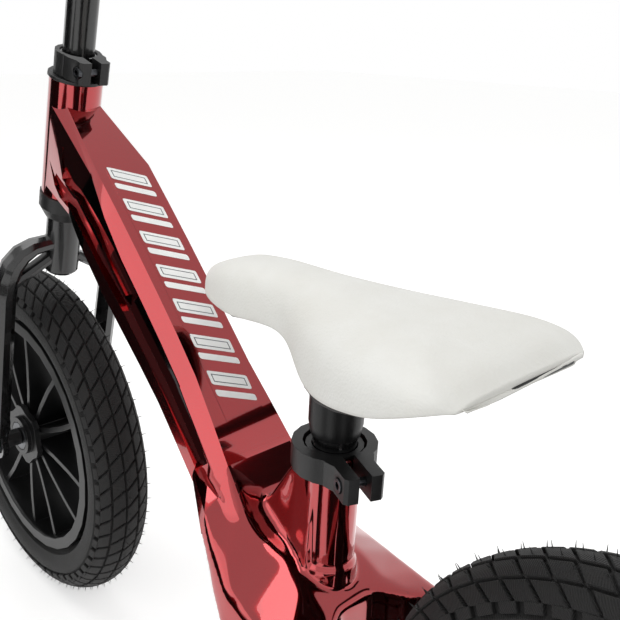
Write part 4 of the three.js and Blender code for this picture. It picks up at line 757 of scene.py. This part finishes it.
grid = []
for station in range(STATIONS + 1):
    share = 0.5 - 0.5 * math.cos(math.pi * station / STATIONS)
    half = eased(OUTLINE, share)
    skirt = eased(SKIRT_LINE, share) * CROWN_RISE
    rise = eased(TOP_LINE, share) * CROWN_RISE - skirt
    x = share * SADDLE_LONG - NOSE_AHEAD
    for k in range(ROUND + 1):
        c, s = math.cos(math.pi * k / ROUND), math.sin(math.pi * k / ROUND)
        y = half * math.copysign(abs(c) ** SIDE_POWER, c)
        grid.append(SADDLE_ROOT + Vector((x, y, skirt + rise * abs(s) ** CROWN_POWER)))
row = ROUND + 1
faces = [
    (i * row + k, i * row + k + 1, (i + 1) * row + k + 1, (i + 1) * row + k)
    for i in range(STATIONS) for k in range(ROUND)
]
cover_mesh = bpy.data.meshes.new("saddle_cover_finished")
cover_mesh.from_pydata(grid, [], faces)
saddle = bpy.data.objects.new("saddle_cover_finished", cover_mesh)
bpy.context.scene.collection.objects.link(saddle)
select_only(saddle)
# The two ends are closed by a face across them, inset twice, and the form is melted.
bpy.ops.object.mode_set(mode="EDIT")
for end in (0, STATIONS):
    bpy.ops.mesh.select_all(action="DESELECT")
    bpy.ops.mesh.select_mode(type="EDGE")
    shell = bmesh.from_edit_mesh(saddle.data)
    shell.verts.ensure_lookup_table()
    ring = set(shell.verts[end * row:end * row + row])
    for edge in shell.edges:
        edge.select = edge.verts[0] in ring and edge.verts[1] in ring
    bmesh.update_edit_mesh(saddle.data)
    bpy.ops.mesh.edge_face_add()
    bpy.ops.mesh.inset(thickness=END_INSET)
    bpy.ops.mesh.inset(thickness=END_INSET)
bpy.ops.mesh.select_all(action="SELECT")
bpy.ops.mesh.normals_make_consistent(inside=False)
bpy.ops.object.mode_set(mode="OBJECT")
shape(saddle, "SMOOTH", factor=0.5, iterations=MELT_TURNS)
# The foam's pressure swells the cover from its glued rim, by SWELL at most.
used = {}
for face in saddle.data.polygons:
    for key in face.edge_keys:
        used[key] = used.get(key, 0) + 1
rim = {v for e in saddle.data.edges if used.get(e.key) == 1 for v in e.vertices}
glued = saddle.vertex_groups.new(name="glued_rim")
glued.add(list(rim), 1.0, "REPLACE")
slack = np.array([v.co for v in saddle.data.vertices])
cloth = saddle.modifiers.new("cloth", "CLOTH")
cloth.settings.use_pressure = True
cloth.settings.uniform_pressure_force = FOAM_PRESSURE
cloth.settings.effector_weights.gravity = 0.0
cloth.settings.vertex_group_mass = glued.name
cloth.point_cache.frame_start = 1
cloth.point_cache.frame_end = SWELL_FRAMES
for step in range(1, SWELL_FRAMES + 1):
    bpy.context.scene.frame_set(step)
bpy.ops.object.modifier_apply(modifier="cloth")
bpy.context.scene.frame_set(1)
move = np.array([v.co for v in saddle.data.vertices]) - slack
length = np.linalg.norm(move, axis=1, keepdims=True)
held = slack + move * np.minimum(1.0, SWELL / np.maximum(length, 1e-9))
saddle.data.vertices.foreach_set("co", held.ravel())
shape(saddle, "SMOOTH", factor=0.5, iterations=STRETCH_TURNS)
shape(saddle, "SOLIDIFY", thickness=COVER_WALL, offset=-1.0)
shape(saddle, "SUBSURF", levels=1, render_levels=1)
bpy.ops.object.shade_smooth()
cover(saddle, leatherette)
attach(saddle, "saddle")
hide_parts("saddle_cover")

# Under the cover's rear edge a strip of the pan's own black nylon stands for the dark gap,
# which is painted shade of the slit into the hollow underside. It widens towards the right
# corner, and below it lies the grey edge of the folded leatherette.
LIP_FROM, LIP_TO, LIP_STEPS = -0.012, 0.041, 24
LIP_DEEP, LIP_SUNK = 0.003, 0.0015
LIP_START, LIP_GROWTH = 0.15, 0.8
LIP_CORNER, LIP_SHADE_TURN = 0.2, 50
for name, material, top, foot, back in (
    ("saddle_gap_painted_shade", nylon, 0.0012, -0.0011, 0.0004),
    ("saddle_fold", leatherette, -0.0009, -0.0022, 0.0),
):
    bpy.ops.object.select_all(action="DESELECT")
    bpy.ops.mesh.primitive_cube_add(size=1.0)
    lip = bpy.context.object
    lip.name = name
    bpy.ops.object.mode_set(mode="EDIT")
    bpy.ops.mesh.select_all(action="SELECT")
    bpy.ops.mesh.bevel(offset=LIP_CORNER, segments=2)
    bpy.ops.object.mode_set(mode="OBJECT")
    strip = bmesh.new()
    strip.from_mesh(lip.data)
    for step in range(1, LIP_STEPS):
        at = Vector((0, step / LIP_STEPS - 0.5, 0))
        geometry = strip.verts[:] + strip.edges[:] + strip.faces[:]
        bmesh.ops.bisect_plane(strip, geom=geometry, plane_co=at, plane_no=(0, 1, 0))
    strip.to_mesh(lip.data)
    strip.free()
    for vertex in lip.data.vertices:
        along = vertex.co.y + 0.5
        y = LIP_FROM + (LIP_TO - LIP_FROM) * along
        low = foot * (LIP_START + (1 - LIP_START) * along ** LIP_GROWTH)
        height = low + (top - low) * (vertex.co.z + 0.5)
        share = rear_share(y)
        x = share * SADDLE_LONG - NOSE_AHEAD + back - LIP_SUNK + LIP_DEEP * vertex.co.x
        skirt = eased(SKIRT_LINE, share) * CROWN_RISE
        vertex.co = SADDLE_ROOT + Vector((x, y, skirt + height))
    cover(lip, material)
    bpy.ops.object.shade_smooth_by_angle(angle=math.radians(LIP_SHADE_TURN))
    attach(lip, "saddle")

# Room: a sweep of white paper, which glows a little where it is seen or mirrored, so
# that it stays white behind the bike, in a white studio with a slightly darker ceiling.
FLOOR_SIZE, FLOOR_GLOW = 16.0, 0.45
ROOM_FILL, CEILING = 0.62, 0.8


def sight_share(tree):
    """A node that is one where the camera or a mirrored ray looks, and else zero."""
    sight = add_node(tree, "ShaderNodeLightPath")
    rays = {0: (sight, "Is Glossy Ray"), 1: (sight, "Is Transmission Ray")}
    mirrored = add_node(tree, "ShaderNodeMath", rays, operation="MAXIMUM")
    return add_node(tree, "ShaderNodeMath", {0: (sight, "Is Camera Ray"), 1: mirrored}, operation="MAXIMUM")


paper, paper_tree, paper_shader = finish_material(
    "white_paper_sweep", Base_Color=linear("#EDEDEC"), Roughness=0.9, Specular_IOR_Level=0.1
)
lift = add_node(
    paper_tree, "ShaderNodeMath", {0: sight_share(paper_tree), 1: FLOOR_GLOW}, operation="MULTIPLY"
)
glow = add_node(paper_tree, "ShaderNodeEmission", {"Color": (1, 1, 1, 1), "Strength": lift})
lit_paper = add_node(paper_tree, "ShaderNodeAddShader", {0: (paper_shader, "BSDF"), 1: glow})
paper_tree.links.new(lit_paper.outputs[0], paper_tree.nodes["Material Output"].inputs["Surface"])
bpy.ops.mesh.primitive_plane_add(size=FLOOR_SIZE)
floor = bpy.context.object
floor.name = "floor"
cover(floor, paper)

world = bpy.data.worlds.new("white_studio")
bpy.context.scene.world = world
world.use_nodes = True
room = world.node_tree
room.nodes.clear()
seen = sight_share(room)
where = add_node(room, "ShaderNodeTexCoord")
height = add_node(room, "ShaderNodeSeparateXYZ", {0: (where, "Generated")})
ceiling = add_node(
    room, "ShaderNodeMapRange",
    {"Value": (height, "Z"), "From Min": 0.34, "From Max": 0.52, "To Min": 1.0, "To Max": CEILING},
)
fill = add_node(room, "ShaderNodeBackground", {"Color": (1, 1, 1, 1), "Strength": ROOM_FILL})
backdrop = add_node(room, "ShaderNodeBackground", {"Color": (1, 1, 1, 1), "Strength": ceiling})
pick = add_node(room, "ShaderNodeMixShader", {"Fac": seen, 1: fill, 2: backdrop})
add_node(room, "ShaderNodeOutputWorld", {"Surface": pick})

# Lamps: a soft box overhead and a tall one at the left, both mirrored in the lacquer,
# and two fills that light the saddle and wheels but aren't mirrored. Each row gives
# its place, what it faces, its size, its power and whether it is mirrored.
LAMPS = {
    "top_box": ((-0.3, -0.1, 2.0), (0.0, 0.0, 0.2), (1.3, 1.3), 12.0, True),
    "left_box": ((-0.42, -2.0, 0.95), (-0.1, 0.0, 0.35), (1.3, 1.6), 5.6, True),
    "fill_box": ((1.5, -0.9, 1.7), (0.0, 0.0, 0.35), (1.0, 1.0), 7.0, False),
    "left_fill": ((-0.3, -1.9, 1.0), (0.0, 0.0, 0.35), (1.0, 1.0), 1.6, False),
}
for name, (spot, target, size, power, mirrored) in LAMPS.items():
    lamp = bpy.data.lights.new(name, "AREA")
    lamp.shape = "RECTANGLE"
    lamp.size, lamp.size_y = size
    lamp.energy = power
    holder = bpy.data.objects.new(name, lamp)
    bpy.context.scene.collection.objects.link(holder)
    holder.location = spot
    holder.rotation_mode = "QUATERNION"
    holder.rotation_quaternion = (Vector(target) - Vector(spot)).to_track_quat("-Z", "Y")
    holder.visible_glossy = mirrored

# Flags: black cards at the left, at the right and on the floor, seen only mirrored.
# They put the dark lines into the lacquer.
CARD_RAISED = 0.001
CARDS = {
    "flag_left": ((-0.42, -0.82, 0.0), (-0.76, -0.21, 0.0), (-0.76, -0.21, 0.62), (-0.42, -0.82, 0.6)),
    "flag_right": ((0.45, 0.62, 0.62), (0.95, 0.42, 0.62), (0.95, 0.62, 1.0), (0.5, 0.85, 1.0)),
    "flag_floor_one": ((0.05, -0.14, 0.0), (0.10, -0.14, 0.0), (0.12, -1.2, 0.0), (-0.25, -1.2, 0.0)),
    "flag_floor_two": ((0.17, -0.13, 0.0), (0.23, -0.05, 0.0), (1.15, -0.4, 0.0), (0.65, -1.0, 0.0)),
    "flag_floor_three": ((0.24, 0.01, 0.0), (0.21, 0.09, 0.0), (0.95, 0.7, 0.0), (1.2, 0.1, 0.0)),
}
flock, _, _ = finish_material("black_card", Base_Color=linear("#050505"), Roughness=1.0)
for name, corners in CARDS.items():
    card_mesh = bpy.data.meshes.new(name)
    card_mesh.from_pydata([(x, y, z + CARD_RAISED) for x, y, z in corners], [], [(0, 1, 2, 3)])
    card = bpy.data.objects.new(name, card_mesh)
    bpy.context.scene.collection.objects.link(card)
    cover(card, flock)
    card.visible_camera = False
    card.visible_diffuse = False
    card.visible_shadow = False

# Camera: above the rear wheel's left side, looking forward and down the frame.
CAMERA_AT = (0.365624, -0.294828, 0.497133)
HEADING, TILT, ROLL = math.radians(46.02), math.radians(71.26), math.radians(1.72)
camera_data = bpy.data.cameras.new("camera")
camera_data.sensor_width = 36.0
camera_data.lens = 47.58
camera_data.clip_start = 0.02
camera = bpy.data.objects.new("camera", camera_data)
bpy.context.scene.collection.objects.link(camera)
camera.matrix_world = (
    Matrix.Translation(CAMERA_AT)
    @ Matrix.Rotation(HEADING, 4, "Z")
    @ Matrix.Rotation(TILT, 4, "X")
    @ Matrix.Rotation(ROLL, 4, "Z")
)
bpy.context.scene.camera = camera
bpy.context.scene.view_settings.view_transform = "Standard"
